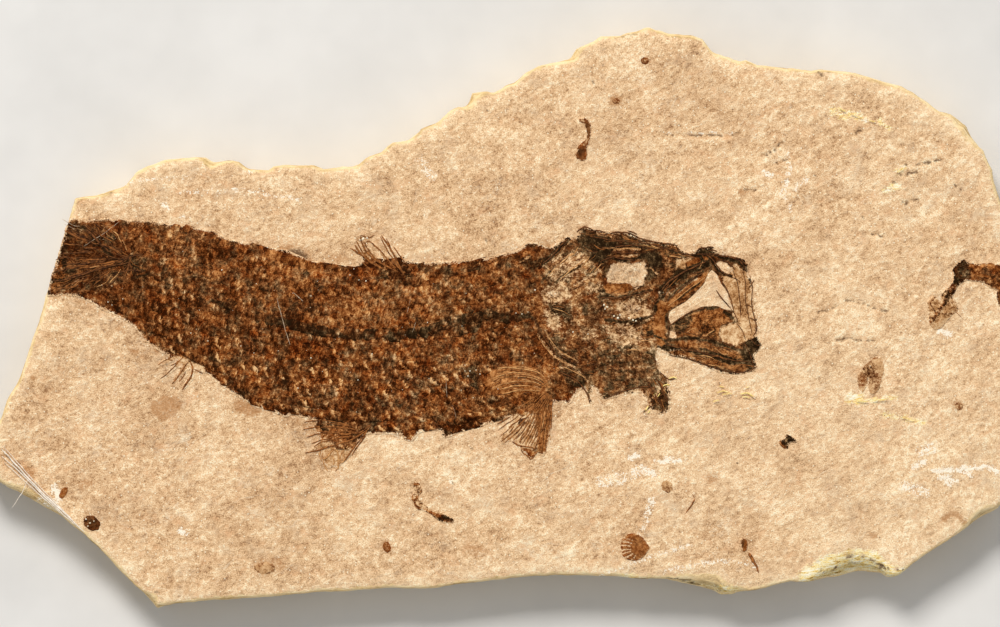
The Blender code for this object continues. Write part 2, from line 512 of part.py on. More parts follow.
# ---------------------------------------------------------------- solids
def add_cap(mesh, rings, height_of, inner=()):
    """Fills the area inside the first ring and outside the others, and returns each ring's vertices."""
    flat, faces, sources = triangles_in(rings, inner)
    heights = height_of(np.array([tuple(point) for point in flat]))
    corners = [mesh.verts.new((point.x, point.y, float(height))) for point, height in zip(flat, heights)]
    for face in faces:
        mesh.faces.new([corners[i] for i in face])
    place = {source: corner for corner, found in zip(corners, sources) for source in found}
    loops = []
    first = 0
    for ring in rings:
        loops.append([place[first + i] for i in range(len(ring))])
        first += len(ring)
    return loops


def add_wall(mesh, lower, upper):
    """Joins two rings of vertices."""
    for i in range(len(lower)):
        mesh.faces.new((lower[i - 1], lower[i], upper[i], upper[i - 1]))


def level(height):
    """A height function for a flat level."""
    return lambda points: np.full(len(points), height)


def add_plate(mesh, rings, underside, height_of, inner=()):
    """A closed plate between a flat underside and a shaped top."""
    rings = [counter_clockwise(ring) for ring in rings]
    tops = add_cap(mesh, rings, height_of, inner)
    bottoms = add_cap(mesh, rings, level(underside))
    for bottom, top in zip(bottoms, tops):
        add_wall(mesh, bottom, top)


def new_object(name, mesh, material, collection):
    """Turns a mesh in millimetres into an object in metres, placed at the middle of its own plan."""
    loose = [vert for vert in mesh.verts if not vert.link_faces]
    bmesh.ops.delete(mesh, geom=loose, context="VERTS")
    bmesh.ops.recalc_face_normals(mesh, faces=mesh.faces)
    xs = [vert.co.x for vert in mesh.verts]
    ys = [vert.co.y for vert in mesh.verts]
    middle = Vector(((min(xs) + max(xs)) / 2, (min(ys) + max(ys)) / 2, 0))
    bmesh.ops.translate(mesh, verts=mesh.verts, vec=-middle)
    bmesh.ops.scale(mesh, verts=mesh.verts, vec=(MM, MM, MM))
    data = bpy.data.meshes.new(name)
    mesh.to_mesh(data)
    mesh.free()
    if material:
        data.materials.append(material)
    made = bpy.data.objects.new(name, data)
    made.location = middle * MM
    collection.objects.link(made)
    return made


def finish(name, colour, roughness):
    """A plain material."""
    material = bpy.data.materials.new(name)
    material.use_nodes = True
    shader = material.node_tree.nodes["Principled BSDF"]
    shader.inputs["Base Color"].default_value = (*colour, 1)
    shader.inputs["Roughness"].default_value = roughness
    shader.inputs["Metallic"].default_value = 0
    material.diffuse_color = (*colour, 1)
    return material


def edge_at(outline, height, step_back, wander, seed):
    """The slab's broken edge at one bedding level."""
    side = outward(np.roll(outline, -2, axis=0) - np.roll(outline, 2, axis=0))
    rough = np.array([noise.noise(Vector((x / EDGE_SPAN, y / EDGE_SPAN, seed))) for x, y in outline])
    back = np.maximum(step_back + wander * rough, 0)
    rise = np.clip((height - CHIP_FLOOR) / (FACE - CHIP_FLOOR), 0, 1)
    for x, y, reach, depth in CHIPS:
        away = np.linalg.norm(outline - on_part([(x, y)])[0], axis=1)
        back = back + depth * rise * (1 - eased(away / reach))
    return outline - side * back[:, None]


def build_slab(fossil_rings, material, collection):
    """The stone without its beds: bedding levels from the flat base up to the split face."""
    outline = simplified(counter_clockwise(on_part(SLAB_OUTLINE)), OUTLINE_TOLERANCE)
    edges = [edge_at(outline, *bed, seed=10.0 * i) for i, bed in enumerate(BEDDING)]
    mesh = bmesh.new()
    grid = grid_in(edges[-1], FACE_GRID, FACE_GRID / 2, seed=4)
    for ring in fossil_rings:
        grid = grid[~inside(grid, ring) & (distance_to_line(grid, ring, closed=True) > BED_MARGIN)]
    below = add_cap(mesh, [edges[0]], level(BEDDING[0][0]))[0]
    for i in range(1, len(BEDDING) - 1):
        wave = [noise.noise(Vector((x / LEDGE_SPAN, y / LEDGE_SPAN, i * 5.0))) for x, y in edges[i]]
        heights = [BEDDING[i][0] + LEDGE_WAVE * lift for lift in wave]
        ring = [mesh.verts.new((x, y, height)) for (x, y), height in zip(edges[i], heights)]
        add_wall(mesh, below, ring)
        below = ring
    top = add_cap(mesh, [edges[-1]], swell, grid)[0]
    add_wall(mesh, below, top)
    return new_object("stone_slab", mesh, material, collection)


def build_beds(rings, islands, collection):
    """The beds of all the fossils, as one cutter."""
    mesh = bmesh.new()
    for ring in rings:
        holes = [island for island in islands if inside(island[:1], ring)[0]]
        add_plate(mesh, [ring] + holes, FACE - BED_DEPTH, level(FACE + 1))
    beds = new_object("fossil_beds", mesh, None, collection)
    beds.hide_render = True
    beds.display_type = "WIRE"
    return beds


def build_fish(material, collection):
    """The fish as one solid, open at the gape and at the eye."""
    rim = simplified(counter_clockwise(on_part(FISH_OUTLINE)), OUTLINE_TOLERANCE)
    openings = [on_part(GAPE), on_part(ORBIT)]
    lines = [on_part(line) for _, _, line in RIDGES]
    groups = [along(line, RIDGE_STEP) for line in lines]
    groups += [beside(line, half_width, RIDGE_STEP * 1.4) for line, (half_width, _, _) in zip(lines, RIDGES)]
    groups += [scale_points(half=False), scale_points(half=True)]
    groups += [grid_in(rim, FISH_GRID, FISH_GRID / 3, seed=8)]
    inner = spaced(groups, rim, CLOSEST)
    for opening in openings:
        near = distance_to_line(inner, opening, closed=True) < CLOSEST
        inner = inner[~near & ~inside(inner, opening)]
    mesh = bmesh.new()
    add_plate(mesh, [rim] + openings, FACE - FOSSIL_DEPTH, fish_height, inner)
    return new_object("fossil_fish", mesh, material, collection)


def build_scrap(name, ring, rim_height, crown, facet, material, collection):
    """A loose fossil: a small plate with a rounded top."""
    def height_of(points):
        depth = distance_to_line(points, ring, closed=True)
        return swell(points) + rim_height + (crown - rim_height) * eased(depth / facet)

    ring = counter_clockwise(ring)
    mesh = bmesh.new()
    inner = grid_in(ring, facet, facet * SCRAP_MARGIN, seed=3)
    add_plate(mesh, [ring], FACE - FOSSIL_DEPTH, height_of, inner)
    return new_object(name, mesh, material, collection)


def ellipse(x, y, half_length, half_width, turn):
    """A seed case's ring: x and y on the sheet, and its turn in degrees."""
    middle = on_part([(x, y)])[0]
    lean = math.radians(turn)
    ring = []
    for i in range(SEED_SIDES):
        angle = math.tau * i / SEED_SIDES
        across, up = half_length * math.cos(angle), half_width * math.sin(angle)
        ring.append(middle + (across * math.cos(lean) - up * math.sin(lean),
                              across * math.sin(lean) + up * math.cos(lean)))
    return np.array(ring)


def main():
    for old in list(bpy.data.objects):
        bpy.data.objects.remove(old)
    parts = bpy.data.collections.new("fossil_fish_slab")
    cutters = bpy.data.collections.new("cutters")
    for collection in (parts, cutters):
        bpy.context.scene.collection.children.link(collection)
    cutters.hide_render = True

    stone = finish("stone", (0.67, 0.45, 0.27), 0.9)
    fish_bone = finish("fish_bone", (0.10, 0.045, 0.02), 0.6)
    dark_bone = finish("dark_bone", (0.05, 0.03, 0.02), 0.55)
    brown_scrap = finish("brown_scrap", (0.28, 0.14, 0.06), 0.7)

    # name, ring, height of the rim, height of the crown, facet size, material
    scraps = [
        ("stray_bone", on_part(STRAY_BONE), 0.12, 0.34, 0.8, dark_bone),
        ("leaf_fragment", on_part(LEAF_FRAGMENT), 0.08, 0.20, 0.8, brown_scrap),
        ("loose_scale", on_part(LOOSE_SCALE), 0.08, 0.20, 0.8, brown_scrap),
        ("bone_splinter", on_part(BONE_SPLINTER), 0.16, 0.28, 0.5, dark_bone),
        ("hooked_bone", on_part(HOOKED_BONE), 0.14, 0.20, 0.5, brown_scrap),
        ("dark_chip", on_part(DARK_CHIP), 0.14, 0.26, 0.5, dark_bone),
        ("bone_wedge", on_part(BONE_WEDGE), 0.10, 0.18, 0.5, brown_scrap),
    ]
    for count, (x, y, half_length, half_width, turn, height) in enumerate(SEED_CASES, start=1):
        ring = ellipse(x, y, half_length, half_width, turn)
        scraps.append((f"seed_case_{count}", ring, 0.06, height, half_width, brown_scrap))

    fossil_rings = [on_part(FISH_OUTLINE)] + [ring for _, ring, _, _, _, _ in scraps]
    bed_rings = [grown(simplified(ring, BED_TOLERANCE), BED_CLEARANCE) for ring in fossil_rings]
    slab = build_slab(bed_rings, stone, parts)
    cut = slab.modifiers.new("fossil_beds", "BOOLEAN")
    cut.operation = "DIFFERENCE"
    cut.object = build_beds(bed_rings, [on_part(GAPE_STONE), on_part(ORBIT_STONE)], cutters)
    fossils = [build_fish(fish_bone, parts)]
    for name, ring, rim_height, crown, facet, material in scraps:
        fossils.append(build_scrap(name, ring, rim_height, crown, facet, material, parts))
    bpy.context.view_layer.update()
    for fossil in fossils:
        fossil.parent = slab
        fossil.matrix_parent_inverse = slab.matrix_world.inverted()


main()
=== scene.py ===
"""Dressed model of the fossil fish slab: split stone, gaping fish, loose fossils and dust.

Places stand on the slab's survey sheet, whose x runs along the slab from its left end and whose
y runs down its face, in tenths of a millimetre. A line in a table is text: its first x and y, then
the step from each corner to the next. Rows are parted by semicolons and line ends, and a row
starts with what its table says of it, in hundredths, such as a stroke's half-width in hundredths
of a millimetre. Words and a colon before a row say what the rows that follow show. Meshes are
worked out in millimetres in the frame's axes and turned to metres when they become objects.
"""

import logging
import math
import re
from dataclasses import dataclass, field
from enum import Enum
from typing import Any, Callable, Sequence

import bpy
import numpy as np
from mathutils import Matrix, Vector, noise
from mathutils.geometry import delaunay_2d_cdt


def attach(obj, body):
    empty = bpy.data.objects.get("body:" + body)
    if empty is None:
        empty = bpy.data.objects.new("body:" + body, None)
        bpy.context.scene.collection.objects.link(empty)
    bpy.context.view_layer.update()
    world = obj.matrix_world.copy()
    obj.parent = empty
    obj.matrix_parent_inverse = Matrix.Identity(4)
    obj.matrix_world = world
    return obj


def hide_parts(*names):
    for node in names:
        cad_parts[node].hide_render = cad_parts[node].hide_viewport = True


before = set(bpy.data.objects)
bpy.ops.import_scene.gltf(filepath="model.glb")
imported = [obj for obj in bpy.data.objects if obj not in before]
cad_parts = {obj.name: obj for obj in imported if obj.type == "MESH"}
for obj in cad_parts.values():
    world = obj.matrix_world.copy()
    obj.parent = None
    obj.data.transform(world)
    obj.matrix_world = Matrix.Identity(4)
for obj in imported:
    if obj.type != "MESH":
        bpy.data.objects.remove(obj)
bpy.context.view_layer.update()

LOG = logging.getLogger("fossil_fish_slab")
MM = 0.001
BODY = "root"
TOP_LIMIT = 5.955         # nothing of the dressed model stands higher, in mm
SNAP = 1e-5
CHUNK = 4000              # points compared with a line at a time
SCATTER = (73856093, 19349663, 83492791, 1274126177)  # large primes that turn a cell's place into its value
STROKE_REACH = 1.6        # how far a stroke is looked for, in half-widths
STROKE_CORE = 0.55        # up to where it covers in full
STROKE_FADE = 0.9         # over what it fades out

Array = np.ndarray
Piece = bpy.types.Object
Socket = bpy.types.NodeSocket
Material = bpy.types.Material
Flat = str | Sequence[float]      # a line as text of first corner and steps, or x and y in turn
Row = tuple[float, Flat]          # a half-width in mm, then a line


# ---------------------------------------------------------------- the survey sheet and plane geometry
@dataclass(frozen=True)
class Survey:
    """The slab's survey sheet and the split face that it describes."""

    middle_x: float = 50.1
    middle_y: float = 31.825
    face: float = 5.5
    swell: float = 0.10
    swell_along: float = 17.0
    swell_across: float = 13.0
    swell_seed: float = 2.5

    def corners(self, flat: Flat) -> Array:
        """A table's line as rows of x and y on the sheet, in tenths of a millimetre."""
        if isinstance(flat, str):
            return np.array(flat.split(), float).reshape(-1, 2).cumsum(axis=0)
        return np.array(flat, float).reshape(-1, 2)

    def place(self, flat: Flat) -> Array:
        """Turns a table's line into points of the frame.

        Args:
            flat: the line, in tenths of a millimetre on the sheet.

        Returns:
            Rows of x and y in millimetres.
        """
        pairs = self.corners(flat) / 10
        return np.column_stack([pairs[:, 0] - self.middle_x, self.middle_y - pairs[:, 1]])

    def face_height(self, points: Array) -> Array:
        """The split face's height, which rises and falls a little as the solid's face does.

        Args:
            points: rows of x and y in millimetres.

        Returns:
            One height for each point.
        """
        spans = (self.swell_along, self.swell_across)
        wide = [noise.noise(Vector((x / spans[0], y / spans[1], self.swell_seed))) for x, y in points]
        return self.face + self.swell * np.array(wide)


SHEET = Survey()


def rows_of(table: str, heads: int = 1) -> list[tuple]:
    """Reads a table.

    Args:
        table: its text.
        heads: how many numbers stand before the line in each row.

    Returns:
        For each row those numbers, turned from hundredths to wholes, and the line.
    """
    rows = [row.split(":")[-1].split() for row in table.replace(";", "\n").splitlines() if row.strip()]
    return [(*(float(number) / 100 for number in row[:heads]), " ".join(row[heads:])) for row in rows]


def eased(share: Array) -> Array:
    """A smooth step from 0 to 1."""
    share = np.clip(share, 0, 1)
    return share * share * (3 - 2 * share)


def ripple(points: Array, size: float, seed: int, octaves: int = 1) -> Array:
    """Smooth random values over the plane.

    Args:
        points: rows of x and y in millimetres.
        size: length of a ripple.
        seed: picks the pattern.
        octaves: how many finer ripples are laid over the first.

    Returns:
        One value for each point, between -1 and 1.
    """
    total, weight, reach = np.zeros(len(points)), 1.0, 0.0
    for octave in range(octaves):
        cells = points / (size / 2 ** octave)
        base = np.floor(cells).astype(np.int64)
        share = eased(cells - base)
        for right, up in ((0, 0), (1, 0), (0, 1), (1, 1)):
            key = (base[:, 0] + right) * SCATTER[0] ^ (base[:, 1] + up) * SCATTER[1] ^ (seed + octave) * SCATTER[2]
            key = ((key ^ (key >> 13)) * SCATTER[3]) & 0x7FFFFFFFFFFF
            value = ((key ^ (key >> 16)) & 0xFFFFF) / 0xFFFFF * 2 - 1
            across = share[:, 0] if right else 1 - share[:, 0]
            along = share[:, 1] if up else 1 - share[:, 1]
            total += weight * value * across * along
        reach += weight
        weight /= 2
    return total / reach


def distance_to(points: Array, line: Array, closed: bool = False) -> Array:
    """Distance from points to a line of segments.

    Args:
        points: rows of x and y.
        line: the line's corners.
        closed: whether the last corner joins the first.

    Returns:
        One distance for each point.
    """
    ends = np.roll(line, -1, axis=0) if closed else line[1:]
    starts = line if closed else line[:-1]
    if len(line) == 1:
        return np.linalg.norm(points - line[0], axis=1)
    along = ends - starts
    lengths = np.maximum((along * along).sum(-1), 1e-12)
    found = []
    for first in range(0, len(points), CHUNK):
        reach = points[first:first + CHUNK, None, :] - starts
        share = np.clip((reach * along).sum(-1) / lengths, 0, 1)
        found.append(np.linalg.norm(reach - share[..., None] * along, axis=-1).min(1))
    return np.concatenate(found) if found else np.empty(0)


def inside(points: Array, ring: Array) -> Array:
    """Which points lie inside a ring."""
    ends = np.roll(ring, -1, axis=0)
    rise = np.where(ends[:, 1] == ring[:, 1], 1e-9, ends[:, 1] - ring[:, 1])
    found = []
    for first in range(0, len(points), CHUNK):
        x, y = points[first:first + CHUNK, 0, None], points[first:first + CHUNK, 1, None]
        straddles = (ring[:, 1] > y) != (ends[:, 1] > y)
        crossing = ring[:, 0] + (y - ring[:, 1]) * (ends[:, 0] - ring[:, 0]) / rise
        found.append((straddles & (x < crossing)).sum(1) % 2 == 1)
    return np.concatenate(found) if found else np.empty(0, bool)


def depth_in(points: Array, ring: Array) -> Array:
    """How far inside a ring each point lies, negative outside it."""
    return np.where(inside(points, ring), 1, -1) * distance_to(points, ring, closed=True)


def feathered(points: Array, ring: Array, feather: float) -> Array:
    """Cover of a ring with a soft rim, from 0 outside it to 1 inside."""
    return eased(0.5 + 0.5 * depth_in(points, ring) / feather)


def near_to(points: Array, line: Array, reach: float = 0.0) -> Array:
    """The numbers of the points that lie in a line's box, widened by a reach."""
    return np.flatnonzero(((points > line.min(0) - reach) & (points < line.max(0) + reach)).all(1))


def counter_clockwise(ring: Array) -> Array:
    """The ring with its inside on the left."""
    after = np.roll(ring, -1, axis=0)
    return ring if np.sum(ring[:, 0] * after[:, 1] - after[:, 0] * ring[:, 1]) > 0 else ring[::-1]


def outward(ring: Array, reach: int = 1) -> Array:
    """The outward side at each corner of a counter-clockwise ring.

    Args:
        ring: the ring.
        reach: how many corners to each side are averaged.

    Returns:
        One unit vector for each corner.
    """
    steps = sum(np.roll(ring, -i, axis=0) - np.roll(ring, i, axis=0) for i in range(1, reach + 1))
    sides = np.stack([steps[:, 1], -steps[:, 0]], axis=1)
    return sides / np.maximum(np.linalg.norm(sides, axis=1, keepdims=True), 1e-9)


def divided(line: Array, step: float, closed: bool) -> Array:
    """The line with evenly spaced corners.

    Args:
        line: the corners, as rows.
        step: the spacing, near enough.
        closed: whether the last corner joins the first.

    Returns:
        The evened line.
    """
    if closed:
        line = np.vstack([line, line[:1]])
    along = np.concatenate([[0], np.cumsum(np.linalg.norm(np.diff(line, axis=0), axis=1))])
    pieces = max(1, round(float(along[-1]) / step))
    stations = np.linspace(0, along[-1], pieces + 1)[:-1 if closed else None]
    return np.stack([np.interp(stations, along, column) for column in line.T], axis=1)


def rounded(line: Array, rounds: int, closed: bool = False) -> Array:
    """The line with its corners cut, as often as asked (Chaikin's way)."""
    for _ in range(rounds):
        ends = np.roll(line, -1, axis=0) if closed else line[1:]
        starts = line if closed else line[:-1]
        cut = np.stack([0.75 * starts + 0.25 * ends, 0.25 * starts + 0.75 * ends], axis=1).reshape(-1, line.shape[1])
        line = cut if closed else np.vstack([line[:1], cut, line[-1:]])
    return line


def untangled(ring: Array, span: int = 12) -> Array:
    """The ring without the small loops in which it crosses itself.

    Args:
        ring: the ring.
        span: the longest loop that is looked for, in corners.

    Returns:
        The ring, with fewer corners where it had a loop.
    """
    def turn(a: Array, b: Array, c: Array) -> Array:
        """Twice the area of each triangle, signed."""
        return (b[:, 0] - a[:, 0]) * (c[:, 1] - a[:, 1]) - (b[:, 1] - a[:, 1]) * (c[:, 0] - a[:, 0])

    after = np.roll(ring, -1, axis=0)
    keep = np.ones(len(ring), bool)
    for gap in range(2, span):
        start, end = np.roll(ring, -gap, axis=0), np.roll(after, -gap, axis=0)
        astride = turn(ring, after, start) * turn(ring, after, end) < 0
        apart = astride & (turn(start, end, ring) * turn(start, end, after) < 0)
        for i in np.flatnonzero(apart):
            keep[(i + 1 + np.arange(gap)) % len(ring)] = False
    return ring[keep]


def ragged(ring: Array, amount: float, size: float, seed: int) -> Array:
    """The ring eaten back by up to an amount, in bays of a given size."""
    ring = counter_clockwise(ring)
    bite = 0.5 + 0.5 * ripple(ring, size, seed, octaves=3)
    return untangled(ring - outward(ring, 2) * (amount * bite)[:, None])


def honeycomb(low: Array, high: Array, spacing: float, seed: int, jitter: float = 0.22) -> Array:
    """A loose grid of points in staggered rows.

    Args:
        low: lowest corner of the area.
        high: highest corner of the area.
        spacing: distance from one point to the next.
        seed: picks the jitter.
        jitter: share of the spacing by which points stray.

    Returns:
        Rows of x and y.
    """
    xs = np.arange(low[0], high[0], spacing)
    ys = np.arange(low[1], high[1], spacing * math.sqrt(0.75))
    grid = np.stack(np.meshgrid(xs, ys), axis=-1)
    grid[1::2, :, 0] += spacing / 2
    stray = np.random.default_rng(seed).uniform(-jitter, jitter, grid.shape)
    return (grid + stray * spacing).reshape(-1, 2)


def section(node: str, height: float) -> list[Array]:
    """The outlines in which a level cuts one of the CAD solids, longest first.

    Args:
        node: name of the solid.
        height: the level, in millimetres.

    Returns:
        Closed rings of x and y in millimetres.
    """
    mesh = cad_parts[node].data
    mesh.calc_loop_triangles()
    corners = np.empty(len(mesh.vertices) * 3)
    mesh.vertices.foreach_get("co", corners)
    corners = corners.reshape(-1, 3) / MM
    _, same = np.unique(np.round(corners, 4), axis=0, return_inverse=True)
    same = same.reshape(-1)
    place: dict[tuple[int, int], Array] = {}
    links: dict[tuple[int, int], list[tuple[int, int]]] = {}
    for triangle in mesh.loop_triangles:
        cuts = []
        for i in range(3):
            a, b = triangle.vertices[i - 1], triangle.vertices[i]
            rise = corners[b][2] - corners[a][2]
            if (corners[a][2] > height) != (corners[b][2] > height):
                key = (min(same[a], same[b]), max(same[a], same[b]))
                place[key] = (corners[a] + (corners[b] - corners[a]) * (height - corners[a][2]) / rise)[:2]
                cuts.append(key)
        if len(cuts) == 2:
            links.setdefault(cuts[0], []).append(cuts[1])
            links.setdefault(cuts[1], []).append(cuts[0])
    rings = []
    while links:
        here = next(iter(links))
        ring = []
        while here is not None:
            ring.append(place[here])
            onward = [key for key in links.pop(here) if key in links]
            here = onward[0] if onward else None
        if len(ring) > 2:
            rings.append(counter_clockwise(np.array(ring)))
    return sorted(rings, key=len, reverse=True)


# ---------------------------------------------------------------- strokes and patches
class BoneMark(Enum):
    """What a daub on a fossil shows there. The value is its channel."""

    INK = 0
    RUST = 1
    FILM = 2
    BARE = 3


class StoneMark(Enum):
    """What a daub on the stone shows there. The value is its channel."""

    STAIN = 0
    # yellow bloom and the chips' yellow layers, which the finish brightens as painted light
    YELLOW = 1
    CHALK = 2
    # dark brown film and specks, and painted shade in the cracks, by the ledges and on the flake steps
    SHADE = 3


Mark = BoneMark | StoneMark
INK, RUST, FILM, BARE = BoneMark


@dataclass(frozen=True)
class Daub:
    """A stroke along a line, or a patch inside a ring when it is filled."""

    mark: Mark
    width: float          # half-width of a stroke, or feather of a patch's rim, in mm
    strength: float
    flat: Flat
    filled: bool = False

    def cover(self, points: Array) -> tuple[Array, Array]:
        """Where the daub lies and how much it covers.

        Args:
            points: rows of x and y in millimetres.

        Returns:
            The points' numbers, and the cover of each of them from 0 to 1.
        """
        line = SHEET.place(self.flat)
        near = near_to(points, line, STROKE_REACH * self.width)
        if self.filled:
            return near, self.strength * feathered(points[near], line, self.width)
        away = distance_to(points[near], line)
        return near, self.strength * (1 - eased((away / self.width - STROKE_CORE) / STROKE_FADE))


def paint(points: Array, daubs: Sequence[Daub], wander: float = 0.10) -> Array:
    """Lays daubs over each other, in turn.

    Args:
        points: rows of x and y in millimetres.
        daubs: the strokes and patches.
        wander: how far their edges stray.

    Returns:
        One row of four shares for each point, one for each channel of the marks.
    """
    strayed = points + wander * np.stack([ripple(points, 0.5, 71, 2), ripple(points, 0.5, 93, 2)], axis=1)
    shown = np.zeros((len(points), 4))
    for daub in daubs:
        near, cover = daub.cover(strayed)
        shown[near] *= (1 - cover)[:, None]
        shown[near, daub.mark.value] += cover
    return shown


def daubs(marks: type[Mark], table: str) -> tuple[Daub, ...]:
    """Reads a table of marks, whose labels say what the rows after them show.

    Args:
        marks: the marks that its labels name.
        table: its text. A label is a mark's name, then its strength in hundredths before strokes,
            or the word patch before patches. A stroke's row gives its half-width and line, and a
            patch's row its feather, strength and ring.

    Returns:
        The strokes and patches, in order.
    """
    found: list[Daub] = []
    for label, row in re.findall(r"([a-z][^:;]*:)|([^:;\n]+)", table):
        if label:
            name, kind = re.split("[ ,:]", label)[:2]
        elif row.strip():
            filled = kind == "patch"
            width, *rest = rows_of(row, 2 if filled else 1)[0]
            strength = rest[0] if filled else float(kind) / 100
            found.append(Daub(marks[name.upper()], width, strength, rest[-1], filled))
    return tuple(found)


# ---------------------------------------------------------------- shells
@dataclass
class Shell:
    """A closed skin in the making: corners in millimetres, and faces that point outwards."""

    corners: list[tuple[float, float, float]] = field(default_factory=list)
    faces: list[tuple[int, ...]] = field(default_factory=list)

    def ring(self, points: Array, heights: Array) -> list[int]:
        """Adds a ring of corners and returns their numbers."""
        first = len(self.corners)
        self.corners += [(float(x), float(y), float(z)) for (x, y), z in zip(points, heights)]
        return list(range(first, len(self.corners)))

    def wall(self, lower: list[int], upper: list[int]) -> None:
        """Joins two rings that run counter-clockwise round what is solid."""
        self.faces += [(lower[i - 1], lower[i], upper[i], upper[i - 1]) for i in range(len(lower))]

    def cap(self, rings: list[Array], inner: Array, height_of: Callable, upward: bool) -> list[list[int]]:
        """Fills the area inside the first ring and outside the others.

        Args:
            rings: counter-clockwise rings, the outer one first.
            inner: further points, which may lie outside the area.
            height_of: gives the heights of points.
            upward: which way the faces point.

        Returns:
            The corners' numbers of each ring.
        """
        points = np.vstack([*rings, inner]) if len(inner) else np.vstack(rings)
        loops, first = [], 0
        for ring in rings:
            loops.append(list(range(first, first + len(ring))))
            first += len(ring)
        flat, _, faces, sources, _, owners = delaunay_2d_cdt([Vector(p) for p in points], [], loops, 0, SNAP)
        faces = [face for face, owner in zip(faces, owners) if list(owner) == [0]]
        used = sorted({corner for face in faces for corner in face})
        kept = np.array([flat[i][:] for i in used])
        numbers = dict(zip(used, self.ring(kept, height_of(kept))))
        for face in faces:
            turned = tuple(numbers[i] for i in face)
            self.faces.append(turned if upward else turned[::-1])
        at = {source: numbers[i] for i in used for source in sources[i]}
        return [[at[i] for i in loop] for loop in loops]

    def plate(self, rings: list[Array], inner: Array, height_of: Callable, underside: float) -> None:
        """Adds a closed plate between a flat underside and a shaped top."""
        rings = [counter_clockwise(ring) for ring in rings]
        tops = self.cap(rings, inner, height_of, upward=True)
        bottoms = self.cap(rings, np.empty((0, 2)), lambda points: np.full(len(points), underside), upward=False)
        for i, (bottom, top) in enumerate(zip(bottoms, tops)):
            if i:
                bottom, top = bottom[::-1], top[::-1]
            self.wall(bottom, top)

    def to_object(self, name: str, material: Material) -> Piece:
        """Turns the shell into an object in metres.

        Args:
            name: name of the piece.
            material: its finish.

        Returns:
            The object, at the origin.
        """
        mesh = bpy.data.meshes.new(name)
        mesh.from_pydata([(x * MM, y * MM, z * MM) for x, y, z in self.corners], [], self.faces)
        mesh.polygons.foreach_set("use_smooth", [True] * len(mesh.polygons))
        mesh.materials.append(material)
        mesh.update()
        made = bpy.data.objects.new(name, mesh)
        bpy.context.scene.collection.objects.link(made)
        return made


def plan_of(made: Piece) -> Array:
    """The corners of a piece in millimetres, as rows of x, y and z."""
    flat = np.empty(len(made.data.vertices) * 3)
    made.data.vertices.foreach_get("co", flat)
    return flat.reshape(-1, 3) / MM


def note(made: Piece, name: str, values: Array) -> None:
    """Stores one number or vector for each corner of a piece, for its finish to read."""
    kind = "FLOAT" if values.ndim == 1 else "FLOAT_VECTOR"
    attribute = made.data.attributes.new(name, kind, "POINT")
    attribute.data.foreach_set("value" if values.ndim == 1 else "vector", values.astype(np.float32).ravel())


def enrol(made: Piece, slot: str, *nodes: str) -> Piece:
    """Gives a finished piece its body, and hides the solids that it stands for.

    Args:
        made: the piece.
        slot: the record's material slot; not used.
        nodes: the CAD solids that it replaces.

    Returns:
        The same piece.
    """
    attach(made, BODY)
    if nodes:
        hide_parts(*nodes)
    return made


# ---------------------------------------------------------------- finishes
def colour_of(red: float, green: float, blue: float) -> tuple[float, float, float, float]:
    """A screen colour of 0 to 255 as the linear one that shaders take."""
    def linear(value: float) -> float:
        """One channel of it."""
        share = value / 255
        return share / 12.92 if share <= 0.04045 else ((share + 0.055) / 1.055) ** 2.4

    return (linear(red), linear(green), linear(blue), 1.0)


Rgb = tuple[float, float, float]


